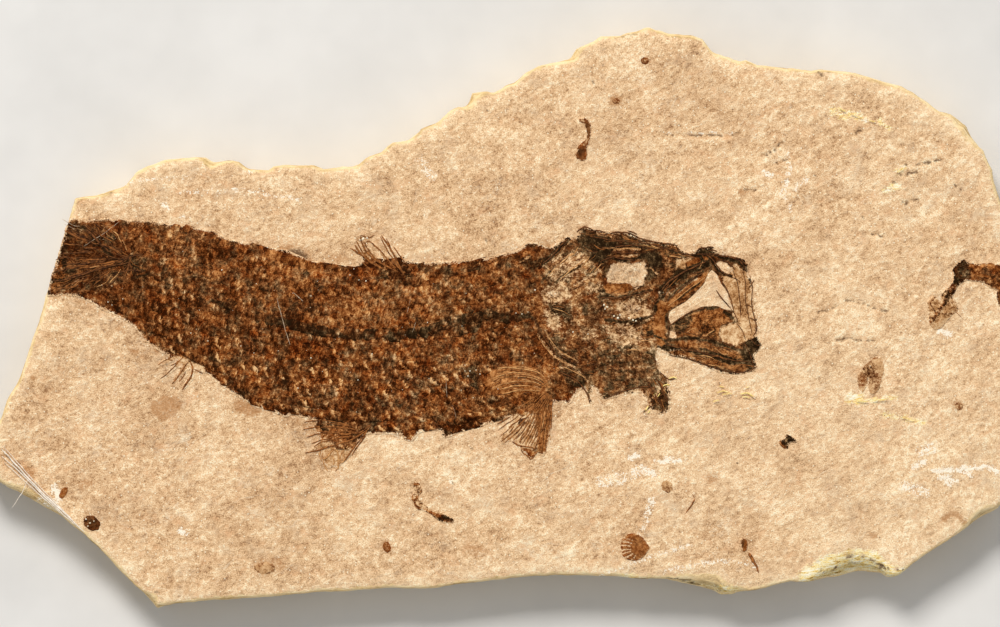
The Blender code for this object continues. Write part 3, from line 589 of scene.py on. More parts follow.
@dataclass
class Bench:
    """A material's node tree in the making, with short ways to add what a finish needs."""

    tree: bpy.types.NodeTree
    family: str = "Shader"    # of the nodes whose kind is given without one

    def add(self, kind: str, inputs: dict[Any, Any] | None = None, **settings: Any) -> bpy.types.Node:
        """Adds a node.

        Args:
            kind: its type's name.
            inputs: values, sockets, or nodes for their first outputs, by input name or number.
            settings: the node's own settings.

        Returns:
            The node.
        """
        made = self.tree.nodes.new(kind if "Node" in kind else f"{self.family}Node{kind}")
        for key, value in settings.items():
            setattr(made, key, value)
        for key, value in (inputs or {}).items():
            value = value.outputs[0] if isinstance(value, bpy.types.Node) else value
            if isinstance(value, Socket):
                self.tree.links.new(value, made.inputs[key])
            else:
                made.inputs[key].default_value = value
        return made

    def sum(self, operation: str, *values: Any) -> Socket:
        """The result of one arithmetic operation, held between 0 and 1 when its name ends in '!'."""
        made = self.add("Math", dict(enumerate(values)), operation=operation.rstrip("!"))
        made.use_clamp = operation.endswith("!")
        return made.outputs[0]

    def times(self, first: Any, *others: Any) -> Any:
        """The product of all values."""
        for other in others:
            first = self.sum("MULTIPLY", first, other)
        return first

    def plus(self, first: Any, *others: Any) -> Any:
        """The total of all values."""
        for other in others:
            first = self.sum("ADD", first, other)
        return first

    def minus(self, value: Any, other: Any) -> Socket:
        """The first value less the second."""
        return self.sum("SUBTRACT", value, other)

    def above(self, value: Any, level: Any, gain: float) -> Socket:
        """How far a value is above a level, times a gain, held between 0 and 1."""
        return self.sum("MULTIPLY!", self.minus(value, level), gain)

    def blend(self, share: Any, under: Any, over: Any) -> Socket:
        """A colour between two others."""
        return self.add("Mix", {0: share, 6: under, 7: over}, data_type="RGBA").outputs[2]

    def noise(self, scale: float, detail: float, rough: float, shift: float = 0.0, stretch: Rgb = (1, 1, 1),
              turn: float = 0.0, swirl: float = 0.0) -> Socket:
        """A noise on the piece's own millimetres.

        Args:
            scale: ripples for each millimetre.
            detail: how many finer ripples lie over the first.
            rough: strength of the finer ones.
            shift: moves the pattern, in millimetres.
            stretch: scale along each axis.
            turn: turn about the vertical, in degrees.
            swirl: how far the pattern is wound up.

        Returns:
            The noise's value, mostly 0.3 to 0.7.
        """
        placed = self.add("Mapping", {
            "Vector": self.add("TexCoord").outputs["Object"], "Location": (shift * MM, 2 * shift * MM, shift * MM),
            "Rotation": (0, 0, math.radians(turn)), "Scale": [MM / share for share in stretch]}, vector_type="TEXTURE")
        return self.add("TexNoise", {"Vector": placed, "Scale": scale, "Detail": detail, "Roughness": rough,
                                     "Distortion": swirl}).outputs[0]

    def grains(self, scale: float, size: float, share: float) -> Socket:
        """Specks: 1 in a share of the cells of a pattern, near their middles.

        Args:
            scale: cells for each millimetre.
            size: a speck's reach, as a share of a cell.
            share: how many cells hold one.

        Returns:
            1 on a speck and 0 off it.
        """
        here = self.add("TexCoord").outputs["Object"]
        placed = self.add("Mapping", {"Vector": here, "Scale": (1 / MM,) * 3})
        cells = self.add("TexVoronoi", {"Vector": placed, "Scale": scale})
        lot = self.add("SeparateColor", {0: cells.outputs["Color"]})
        away = self.sum("DIVIDE", cells.outputs["Distance"], size)
        near = self.sum("MULTIPLY!", self.sum("SUBTRACT!", 1.0, away), 3.0)
        return self.times(near, self.sum("LESS_THAN", lot, share))

    def noted(self, name: str, socket: str = "Fac") -> Socket:
        """A value stored on the piece's corners."""
        return self.add("Attribute", attribute_name=name).outputs[socket]

    def ramp(self, value: Any, *stops: tuple[float, Rgb]) -> Socket:
        """Colours along a value.

        Args:
            value: what the colours follow.
            stops: places from 0 to 1 and their colours.

        Returns:
            The colour.
        """
        made = self.add("ValToRGB", {0: value})
        band = made.color_ramp.elements
        while len(band) < len(stops):
            band.new(0.5)
        for element, (place, colour) in zip(band, stops):
            element.position = place
            element.color = colour_of(*colour)
        return made.outputs[0]

    def weigh(self, *terms: tuple[Any, float]) -> Socket:
        """A weighed total of values, each taken from its middle of 0.5, about 0.5."""
        total: Any = 0.5
        for value, weight in terms:
            total = self.plus(total, self.times(self.minus(value, 0.5), weight))
        return total

    def worn(self, mask: Any, edge: Any, hardness: float = 2.2, fray: float = 1.4) -> Socket:
        """A mask with its soft rim broken up by a noise.

        Args:
            mask: the mask, from 0 to 1.
            edge: the noise.
            hardness: how sharp the broken rim is.
            fray: how much the noise counts.

        Returns:
            The worn mask.
        """
        frayed = self.plus(mask, self.times(self.minus(edge, 0.5), fray))
        faint = self.sum("MULTIPLY!", mask, 6.0)
        return self.times(faint, self.sum("ADD!", 0.5, self.times(self.minus(frayed, 0.5), hardness)))


@dataclass(frozen=True)
class Finish:
    """What every finish shares: a name, a gloss range and the depth of its grain."""

    name: str
    gloss: tuple[float, float] = (0.75, 0.95)  # roughness at its smoothest and roughest
    grain: float = 0.02   # depth of the bump, in mm
    specular: float = 0.08

    def skin(self, bench: Bench) -> tuple[Any, Any, Any]:
        """The colour, the height that the bump follows, and what the roughness follows."""
        raise NotImplementedError

    def make(self) -> Material:
        """Builds the material.

        Returns:
            The material, ready to assign.
        """
        material = bpy.data.materials.new(self.name)
        material.use_nodes = True
        bench = Bench(material.node_tree)
        colour, height, wear = self.skin(bench)
        low, high = self.gloss
        rough = bench.sum("ADD!", low, bench.times(wear, high - low))
        bump = bench.add("Bump", {"Height": height, "Strength": 1.0, "Distance": self.grain * MM})
        shader = material.node_tree.nodes["Principled BSDF"]
        shader.inputs["Specular IOR Level"].default_value = self.specular
        for key, socket in (("Base Color", colour), ("Roughness", rough), ("Normal", bump.outputs[0])):
            bench.tree.links.new(socket, shader.inputs[key])
        return material


@dataclass(frozen=True)
class StoneFinish(Finish):
    """Fine-grained tan stone, with stains, yellow bloom, chalk, dark marks and a cream broken edge. The dark marks are
    partly painted shade in cracks, ledges and flake steps, and the chips' yellow layers are brightened as painted
    light.
    """

    name: str = "tan_stone"
    gloss: tuple[float, float] = (0.75, 0.95)
    grain: float = 0.11
    specular: float = 0.2

    def colour(self, bench: Bench) -> tuple[Any, Any]:
        """The plain stone's colour and its grain.

        Args:
            bench: where the nodes go.

        Returns:
            The colour socket and the grain socket.
        """
        broad = bench.noise(0.14, 3, 0.55, 11)
        cloud = bench.noise(0.62, 4, 0.6, 3, (0.75, 1.1, 1), 24, 0.4)
        mottle = bench.noise(2.3, 4, 0.66, 5, (0.8, 1, 1), 30)
        fine = bench.noise(8.5, 2, 0.6, 1)
        slant = bench.noise(2.4, 3, 0.7, 15, (0.55, 1, 1), 36)
        level = bench.noise(2.4, 3, 0.7, 16, (0.55, 1, 1), 3)
        side = bench.noted("lean")
        fibre = bench.plus(bench.times(slant, side), bench.times(level, bench.minus(1.0, side)))
        tone = bench.weigh((broad, 0.4), (cloud, 0.95), (mottle, 1.15), (fine, 1.45), (fibre, 0.6))
        tone = bench.plus(tone, bench.times(bench.noted("light"), 0.22))
        colour = bench.ramp(tone, (0.06, (146, 105, 68)), (0.28, (198, 157, 114)), (0.5, (224, 186, 142)),
                            (0.68, (243, 207, 162)), (0.90, (255, 241, 205)))
        grey = bench.above(bench.noise(0.45, 4, 0.7, 31), 0.52, 2.4)
        colour = bench.blend(grey, colour, colour_of(205, 178, 146))
        warm = bench.above(bench.noise(0.8, 4, 0.7, 47), 0.54, 3.0)
        colour = bench.blend(warm, colour, colour_of(228, 176, 128))
        for scale, shift, turn in ((0.5, 61, 12), (0.8, 83, 40)):
            field = bench.noise(scale, 3, 0.5, shift, (0.5, 1, 1), turn, 1.4)
            apart = bench.sum("ABSOLUTE", bench.minus(field, 0.5))
            shown = bench.above(bench.noise(0.3, 3, 0.6, shift + 9), 0.47, 5.0)
            wisp = bench.times(bench.above(0.022, apart, 40.0), shown, 0.55)
            colour = bench.blend(wisp, colour, colour_of(255, 238, 206))
        # Dark specks, and pale specks that are pale grains and also painted glints of shiny grains.
        for specks, strength, shade in (((1.1, 0.13, 0.14), 0.7, (160, 112, 70)),
                                        ((2.6, 0.22, 0.30), 0.8, (255, 244, 214))):
            colour = bench.blend(bench.times(bench.grains(*specks), strength), colour, colour_of(*shade))
        return colour, bench.weigh((cloud, 0.7), (mottle, 1.1), (fine, 0.7), (fibre, 0.4))

    def skin(self, bench: Bench) -> tuple[Any, Any, Any]:
        """The colour, the bump's height, and what the roughness follows."""
        colour, grain = self.colour(bench)
        edge = bench.noise(2.4, 3, 0.7, 17)
        fine = bench.noise(7.0, 2, 0.6, 23)
        layers = bench.noise(1.3, 4, 0.7, 7, (0.35, 0.35, 3.4))
        ledge = bench.ramp(layers, (0.30, (142, 108, 64)), (0.40, (210, 176, 118)), (0.50, (238, 208, 152)),
                           (0.62, (249, 228, 180)), (0.78, (228, 194, 138)))
        colour = bench.blend(bench.worn(bench.noted("rim"), edge, 2.0, 1.8), colour, ledge)
        light = bench.noted("light")
        colour = bench.blend(bench.sum("MULTIPLY!", light, 0.4), colour, colour_of(252, 228, 188))
        colour = bench.blend(bench.sum("MULTIPLY!", light, -0.4), colour, colour_of(196, 158, 120))
        # The chips' yellow layers: their pale stops are brightened as painted light, since the chips face away from the
        # key light.
        leaves = bench.weigh((bench.noise(2.2, 4, 0.75, 27, (0.35, 1.8, 2.6), 8, 0.6), 1.7), (fine, 0.4))
        golden_with_painted_light = bench.ramp(leaves, (0.20, (136, 98, 42)), (0.32, (228, 184, 100)), (0.44, (255, 228, 148)),
                            (0.58, (255, 244, 202)), (0.80, (255, 250, 232)))
        # Stain, yellow, chalk and the shade mark; the shade mark is partly painted shade in cracks, by ledges and on
        # flake steps.
        for name, shade, strength, hardness, fray in (
                ("stain", colour_of(172, 116, 64), 0.60, 2.0, 1.2), ("yellow", golden_with_painted_light, 0.95, 2.4, 1.7),
                ("chalk", colour_of(255, 244, 222), 0.95, 4.0, 3.2), ("shade", colour_of(92, 62, 36), 0.9, 2.0, 0.8)):
            mask = bench.worn(bench.noted(name), bench.weigh((edge, 1.0), (fine, 1.0)), hardness, fray)
            colour = bench.blend(bench.sum("MULTIPLY!", mask, strength), colour, shade)
        return colour, grain, edge


@dataclass(frozen=True)
class BoneFinish(Finish):
    """Dark fossil bone and scale, mottled, with inky, rusty, filmy and bare places."""

    name: str = "brown_bone"
    gloss: tuple[float, float] = (0.5, 0.9)
    grain: float = 0.05
    specular: float = 0.012
    warm: tuple[Rgb, ...] = ((48, 18, 2), (80, 38, 10), (114, 62, 27), (150, 92, 46), (190, 134, 79), (230, 182, 122))
    ruddy: tuple[Rgb, ...] = ((52, 15, 1), (90, 34, 6), (132, 62, 18), (166, 88, 34), (196, 128, 66), (226, 172, 110))
    cold: tuple[Rgb, ...] = ((34, 21, 8), (54, 38, 20), (82, 62, 38), (118, 93, 62), (164, 134, 98), (214, 186, 146))
    middle: float = 0.38  # which tone the plain surface lies about
    cool: float = 0.85    # how strongly the cold places show
    contrast: float = 1.0
    scaled: bool = False  # whether each corner knows its place on a scale

    def tones(self, bench: Bench, tone: Any, shades: tuple[Rgb, ...]) -> Socket:
        """A colour for a tone, along one row of shades."""
        return bench.ramp(tone, *[(0.1 + 0.155 * i, shade) for i, shade in enumerate(shades)])

    def skin(self, bench: Bench) -> tuple[Any, Any, Any]:
        """The colour, the bump's height, and what the roughness follows."""
        blotch = bench.noise(0.42, 3, 0.6, 9)
        cloud = bench.noise(1.3, 3, 0.65, 2)
        mottle = bench.noise(3.3, 3, 0.7, 13)
        fine = bench.noise(9.0, 2, 0.7, 4)
        parts = [(blotch, 0.7), (cloud, 1.1), (mottle, 1.35), (fine, 0.9)]
        if self.scaled:
            weave = bench.noise(2.9, 3, 0.7, 21, (0.5, 1.5, 1), 68, 0.3)
            parts = [(blotch, 0.8), (cloud, 1.05), (mottle, 0.8), (weave, 1.25), (fine, 0.8)]
        tone = bench.weigh(*[(part, weight * self.contrast) for part, weight in parts])
        tone = bench.plus(tone, self.middle - 0.5)
        if self.scaled:
            tone = bench.plus(tone, self.tick(bench, weave))
        tone = bench.minus(tone, bench.times(bench.noted("ink"), 0.25))
        tone = bench.plus(tone, bench.noted("lift"))
        cool = bench.above(bench.noise(0.85, 4, 0.75, 37), 0.44, 4.5)
        dusty = bench.plus(bench.noted("ink"), bench.noted("dusty"))
        cool = bench.sum("MULTIPLY!", bench.plus(cool, dusty), self.cool)
        glow = bench.above(bench.noise(0.75, 4, 0.7, 57), 0.47, 4.0)
        colour = bench.blend(glow, self.tones(bench, tone, self.warm), self.tones(bench, tone, self.ruddy))
        colour = bench.blend(cool, colour, self.tones(bench, tone, self.cold))
        edge = bench.weigh((mottle, 1.0), (fine, 0.8))
        rust = bench.ramp(tone, (0.12, (70, 28, 6)), (0.42, (134, 76, 32)), (0.85, (206, 146, 88)))
        film = bench.ramp(tone, (0.05, (116, 72, 36)), (0.36, (186, 138, 90)), (0.75, (236, 202, 156)))
        bare, _ = StoneFinish().colour(bench)
        for name, over in (("rust", rust), ("film", film), ("bare", bare)):
            colour = bench.blend(bench.worn(bench.noted(name), edge, 2.4), colour, over)
        colour = bench.blend(bench.worn(bench.noted("fringe"), edge, 4.0, 2.6), colour, bare)
        height = bench.weigh((mottle, 1.2), (fine, 0.8))
        return colour, height, bench.weigh((cloud, 1.2), (fine, 1.0))

    def tick(self, bench: Bench, weave: Any) -> Socket:
        """The pale streak across each scale, and the dark gap behind it."""
        place = bench.add("SeparateXYZ", {0: bench.noted("plate", "Vector")})
        strayed = bench.times(bench.minus(weave, 0.5), 1.9)
        lean = bench.times(place.outputs[1], 0.45)
        along = bench.sum("DIVIDE", bench.plus(place.outputs[0], lean, strayed), 0.34)
        across = bench.sum("DIVIDE", place.outputs[1], 1.5)
        away = bench.plus(bench.times(along, along), bench.times(across, across))
        streak = bench.above(1.0, away, 1.7)
        gap = bench.above(away, 1.1, 0.9)
        shown = bench.times(streak, bench.noted("streak"))
        return bench.minus(shown, bench.times(gap, 0.06))


@dataclass(frozen=True)
class PlainFinish(Finish):
    """One material with a mottle between two colours."""

    gloss: tuple[float, float] = (0.5, 0.8)
    dark: Rgb = (60, 60, 60)
    pale: Rgb = (200, 200, 200)
    scale: float = 3.0

    def skin(self, bench: Bench) -> tuple[Any, Any, Any]:
        """The colour, the bump's height, and what the roughness follows."""
        mottle = bench.noise(self.scale, 3, 0.6, 19)
        fine = bench.noise(self.scale * 4, 2, 0.6, 29)
        tone = bench.weigh((mottle, 1.8), (fine, 0.8))
        return bench.ramp(tone, (0.2, self.dark), (0.8, self.pale)), fine, mottle


# ---------------------------------------------------------------- node-made repeats
@dataclass
class Grower:
    """A Geometry Nodes tree in the making, from its named inputs to its last two nodes."""

    name: str
    sizes: dict[str, float | int]
    material: Material
    tree: bpy.types.NodeTree = field(init=False)
    entry: bpy.types.Node = field(init=False)

    def __post_init__(self) -> None:
        """Starts the tree with its sockets."""
        self.tree = bpy.data.node_groups.new(self.name, "GeometryNodeTree")
        face = self.tree.interface
        face.new_socket("Geometry", in_out="INPUT", socket_type="NodeSocketGeometry")
        for name, value in self.sizes.items():
            kind = "NodeSocketInt" if isinstance(value, int) else "NodeSocketFloat"
            face.new_socket(name, in_out="INPUT", socket_type=kind)
        face.new_socket("Geometry", in_out="OUTPUT", socket_type="NodeSocketGeometry")
        self.entry = self.tree.nodes.new("NodeGroupInput")

    def add(self, kind: str, inputs: dict[Any, Any] | None = None, **settings: Any) -> bpy.types.Node:
        """Adds a node, as a bench does."""
        return Bench(self.tree, "Geometry").add(kind, inputs, **settings)

    def size(self, name: str) -> Socket:
        """The socket of a named input."""
        return self.entry.outputs[name]

    def noted(self, name: str, kind: str = "FLOAT") -> Socket:
        """A value stored on the points that the tree starts from."""
        return self.add("InputNamedAttribute", {"Name": name}, data_type=kind).outputs[0]

    def end(self, last: bpy.types.Node) -> None:
        """Ends the tree: copies are made real, and the material is set."""
        real = self.add("RealizeInstances", {0: last})
        dressed = self.add("SetMaterial", {"Geometry": real})
        dressed.inputs["Material"].default_value = self.material
        self.add("NodeGroupOutput", {0: dressed})

    def grow(self, seedling: Piece, **sizes: float | int) -> Piece:
        """Runs the tree on a piece and turns the result into a plain mesh.

        Args:
            seedling: the object that carries the points or lines.
            **sizes: inputs that differ from the tree's own, by name.

        Returns:
            The finished object, which takes the seedling's name.
        """
        modifier = seedling.modifiers.new(self.name, "NODES")
        modifier.node_group = self.tree
        for item in self.tree.interface.items_tree:
            if item.in_out == "INPUT" and item.name in self.sizes:
                modifier[item.identifier] = sizes.get(item.name, self.sizes[item.name])
        graph = bpy.context.evaluated_depsgraph_get()
        mesh = bpy.data.meshes.new_from_object(seedling.evaluated_get(graph), depsgraph=graph)
        seedling.modifiers.remove(modifier)
        before, name = seedling.data, seedling.name
        mesh.polygons.foreach_set("use_smooth", [True] * len(mesh.polygons))
        seedling.data = mesh
        bpy.data.meshes.remove(before)
        mesh.name = name
        return seedling


def seedling(name: str, points: Array, edges: Sequence[tuple[int, int]] = ()) -> Piece:
    """An object of bare points and edges, in millimetres, for a tree to start from."""
    mesh = bpy.data.meshes.new(name)
    mesh.from_pydata([tuple(point * MM) for point in points], list(edges), [])
    made = bpy.data.objects.new(name, mesh)
    bpy.context.scene.collection.objects.link(made)
    return made


@dataclass
class Strands:
    """Rays, ribs or fibres: round strands that follow given lines over a surface."""

    name: str
    material: Material
    slot: str
    rows: Sequence[Row]       # half-thickness in mm, then the line
    ground: Callable[[Array], Array]
    rise: float = 0.35    # share of the half-thickness by which a strand's middle clears the ground
    spacing: float = 0.16
    wander: float = 0.05
    tip: float = 0.35     # thickness at a strand's ends, as a share
    sides: int = 6

    def lines(self) -> Piece:
        """The strands' middle lines, with the thickness that each corner has."""
        lines, edges, thickness = [], [], []
        for half, flat in self.rows:
            line = divided(rounded(SHEET.place(flat), 2), self.spacing, closed=False)
            share = np.linspace(0, 1, len(line))
            slim = self.tip + (1 - self.tip) * np.sqrt(np.clip(np.minimum(share, 1 - share) * 5, 0, 1))
            slim = slim * (1 + 0.25 * ripple(line, 0.7, 5))
            first = len(thickness)
            lines.append(line + self.wander * np.stack([ripple(line, 0.6, 61), ripple(line, 0.6, 62)], axis=1))
            thickness += list(half * slim)
            edges += [(i, i + 1) for i in range(first, len(thickness) - 1)]
        plan, halves = np.vstack(lines), np.array(thickness)
        heights = np.minimum(self.ground(plan) + self.rise * halves, TOP_LIMIT - halves)
        made = seedling(self.name, np.column_stack([plan, heights]), edges)
        note(made, "thickness", halves * MM)
        return made

    def build(self) -> Piece:
        """Builds the strands.

        Returns:
            The finished piece.
        """
        grower = Grower(self.name, {"Spacing": self.spacing * MM, "Sides": self.sides}, self.material)
        curve = grower.add("MeshToCurve", {"Mesh": grower.size("Geometry")})
        even = grower.add("ResampleCurve", {"Curve": curve, "Length": grower.size("Spacing")}, mode="LENGTH")
        sized = grower.add("SetCurveRadius", {"Curve": even, "Radius": grower.noted("thickness")})
        profile = grower.add("CurvePrimitiveCircle", {"Resolution": grower.size("Sides"), "Radius": 1.0})
        tube = grower.add("CurveToMesh", {"Curve": sized, "Profile Curve": profile, "Fill Caps": True})
        if "Scale" in tube.inputs:
            grower.tree.links.new(grower.noted("thickness"), tube.inputs["Scale"])
        grower.end(tube)
        return enrol(grower.grow(self.lines()), self.slot)


@dataclass
class Grains:
    """Crystals and grit: small faceted lumps, listed one by one or strewn."""

    name: str
    material: Material
    slot: str
    ground: Callable[[Array], Array]
    placed: Sequence[Row] = ()        # radius in mm, then the place
    strewn: tuple[tuple[Array, int, float, float], ...] = ()  # ring, number, least and greatest radius
    seed: int = 5

    def spots(self) -> Piece:
        """The points on which the lumps stand, with their sizes."""
        draw = np.random.default_rng(self.seed)
        plan = [SHEET.place(flat)[0] for _, flat in self.placed]
        sizes = [radius for radius, _ in self.placed]
        for ring, number, least, greatest in self.strewn:
            found = draw.uniform(ring.min(0), ring.max(0), (number * 3, 2))
            found = found[depth_in(found, ring) > 0.3][:number]
            plan += list(found)
            sizes += list(least + (greatest - least) * draw.uniform(0, 1, len(found)) ** 3)
        plan, sizes = np.array(plan), np.array(sizes)
        heights = np.minimum(self.ground(plan), TOP_LIMIT - sizes * 1.1)
        made = seedling(self.name, np.column_stack([plan, heights]))
        note(made, "radius", sizes * MM)
        return made

    def build(self) -> Piece:
        """Builds the lumps.

        Returns:
            The finished piece.
        """
        grower = Grower(self.name, {"Squat": 0.7, "Seed": self.seed}, self.material)
        lump = grower.add("MeshIcoSphere", {"Radius": 1.0, "Subdivisions": 1})
        low = grower.add("ShaderNodeCombineXYZ", {0: 1.0, 1: 1.0, 2: grower.size("Squat")})
        flat = grower.add("Transform", {"Geometry": lump, "Scale": low})
        turn = grower.add("FunctionNodeRandomValue", {"Min": (-0.4, -0.4, 0.0), "Max": (0.4, 0.4, 6.28),
                                                      "Seed": grower.size("Seed")}, data_type="FLOAT_VECTOR")
        stretch = grower.add("FunctionNodeRandomValue", {"Min": (0.7, 0.6, 0.7), "Max": (1.1, 1.0, 1.0),
                                                         "Seed": grower.size("Seed")}, data_type="FLOAT_VECTOR")
        scale = grower.add("ShaderNodeVectorMath", {0: stretch, "Scale": grower.noted("radius")}, operation="SCALE")
        strewn = grower.add("InstanceOnPoints", {
            "Points": grower.size("Geometry"), "Instance": flat, "Rotation": turn, "Scale": scale})
        grower.end(strewn)
        return enrol(grower.grow(self.spots()), self.slot)


# ---------------------------------------------------------------- the stone
# Little ledges and cracks in the face, sunk into it and also painted dark with the shade mark as painted shade in them:
# half-width, then the line.
LEDGES = """
12 893 184 4 -6 6 -4 15 -3; 10 905 165 17 -2 18 -3; 10 900 203 10 -1 8 -3; 9 761 156 7 -2 8 -5 5 -7
9 773 164 7 -3 8 -1; 12 955 185 7 5; 12 871 234 13 2; 12 819 312 9 -2 9 -4; 10 844 300 16 3 15 6 14 2
10 835 341 15 -3 25 3; 6 668 134 32 2 40 -1; 10 744 190 8 1 10 -1; 10 852 138 4 -6 6 -2
"""
# Marks on the stone. The shade rows are dark brown film and specks, painted shade on the flake steps at the right and
# by the ledges, dark layer lines along the chips, and darker stone in the eye and the gape.
STONE_MARKS = """
stain patch: 30 100 153 400 12 -4 13 1 5 8 -7 9 -12 7 -10 -5 -4 -8; 30 85 233 402 12 -2 15 6 2 8 -12 3 -13 -5
30 70 706 474 7 -4 7 4 -1 9 -8 2 -6 -4; 40 50 462 545 13 -4 14 6 -3 11 -16 1; 30 75 951 402 7 -3 7 5 -4 7 -8 -1
30 75 609 98 7 -3 7 5 -5 7 -8 -2; 35 55 637 58 9 -4 8 6 -4 8 -11 -1; 40 55 248 566 10 -8 22 -2 8 10 -8 10 -24 2
40 60 380 542 8 -4 7 8 -5 10 -9 -4; 50 110 276 250 12 -5 12 0 8 5 4 12 -6 8 -26 -4
30 55 326 258 10 -4 14 3 2 5 -22 1; 50 30 356 240 16 -4 20 0 12 22 -8 8 -24 -4
60 35 300 418 45 -2 5 24 -20 14 -18 -6 -10 -12; 40 65 524 250 6 -11 12 -4 10 3 0 14 -22 6
40 55 50 292 16 -2 18 10 16 12 -8 0 -22 -12 -20 0; 30 50 232 400 30 12 38 12 0 -10 -40 -16
30 60 76 481 12 -3 8 5 -4 6 -12 0; 40 50 300 424 30 12 30 4 0 -12 -30 -6; 40 50 738 190 12 -4 2 8 -12 3
shade patch: 40 75 280 254 8 -6 12 0 9 8 -5 12 -22 -4; 120 22 888 196 4 -24 38 -14 14 2 -14 24 -25 22
100 20 760 150 30 -12 -4 26 -20 2; 40 40 56 488 10 0 4 10 -10 4
yellow 95: 100 808 578 22 -13 20 -5 22 0; 90 850 566 22 0 18 8 15 3; 80 622 582 38 4 30 4; 80 686 588 29 6 22 1
60 840 572 40 2 20 4
shade patch: 30 34 608 264 36 0 -4 24 -32 -2; 40 10 672 318 28 -33 22 -5 6 32 -28 -6
shade 60: 7 612 578 28 1 24 2; 7 642 581 28 3 30 5; 6 656 579 34 4 24 6; 6 690 586 22 4 19 4
shade 75: 7 846 557 14 -1 24 10; 6 880 568 13 1 12 1; 6 836 567 14 -4 8 0; 7 633 577 12 2; 8 666 578 24 2 10 6
6 820 572 18 -3
yellow 55: 50 833 110 12 6; 40 850 112 15 8; 30 848 402 22 -1 25 -4; 35 883 414 17 4 24 4; 30 896 172 8 -4
30 878 120 12 8; 40 885 190 13 -4; 40 850 396 10 2
chalk 42: 16 787 150 2 25 -6 20 9 17; 16 795 190 11 -12; 5 668 132 32 1 42 0; 50 600 482 25 -4 15 -8
50 905 487 20 5; 40 420 160 12 16; 30 640 540 12 -40; 12 600 575 40 -15 50 -15; 12 660 572 60 -12 40 6
50 920 452 12 -4; 30 40 500 22 22 26 26; 12 100 190 40 -10 50 -2; 12 180 192 60 -2 60 10
chalk 85: 26 630 457 8 -1; 30 915 466 10 -4; 35 944 476 6 6; 30 965 469 5 5; 30 645 470 9 4; 18 656 462 12 -2 14 2
30 180 531 6 2; 18 932 471 28 -1 25 -4 13 6; 25 940 331 10 3; 35 54 489 4 7 -2 6; 16 764 172 8 4; 14 451 480 2 2
16 246 172 8 1; 14 163 205 5 3; 16 181 217 3 0; 20 940 478 18 4
shade 70: 7 735 463 5 0; 16 155 591 2 1; 14 485 240 2 1; 12 222 573 2 1; 14 877 535 2 1; 14 487 110 1 1
16 592 82 2 1; 14 677 42 1 1; 20 820 73 2 1; 16 814 175 2 1; 14 862 217 2 1; 10 947 519 6 -5 6 5; 8 470 448 5 1
stain 75: 30 741 193 7 -3; 25 118 330 6 3; 22 129 349 10 4; 20 30 377 3 2; 30 944 519 9 -6 12 8; 20 988 309 3 2
22 155 350 2 1; 20 871 534 5 2; 40 26 470 5 4
"""


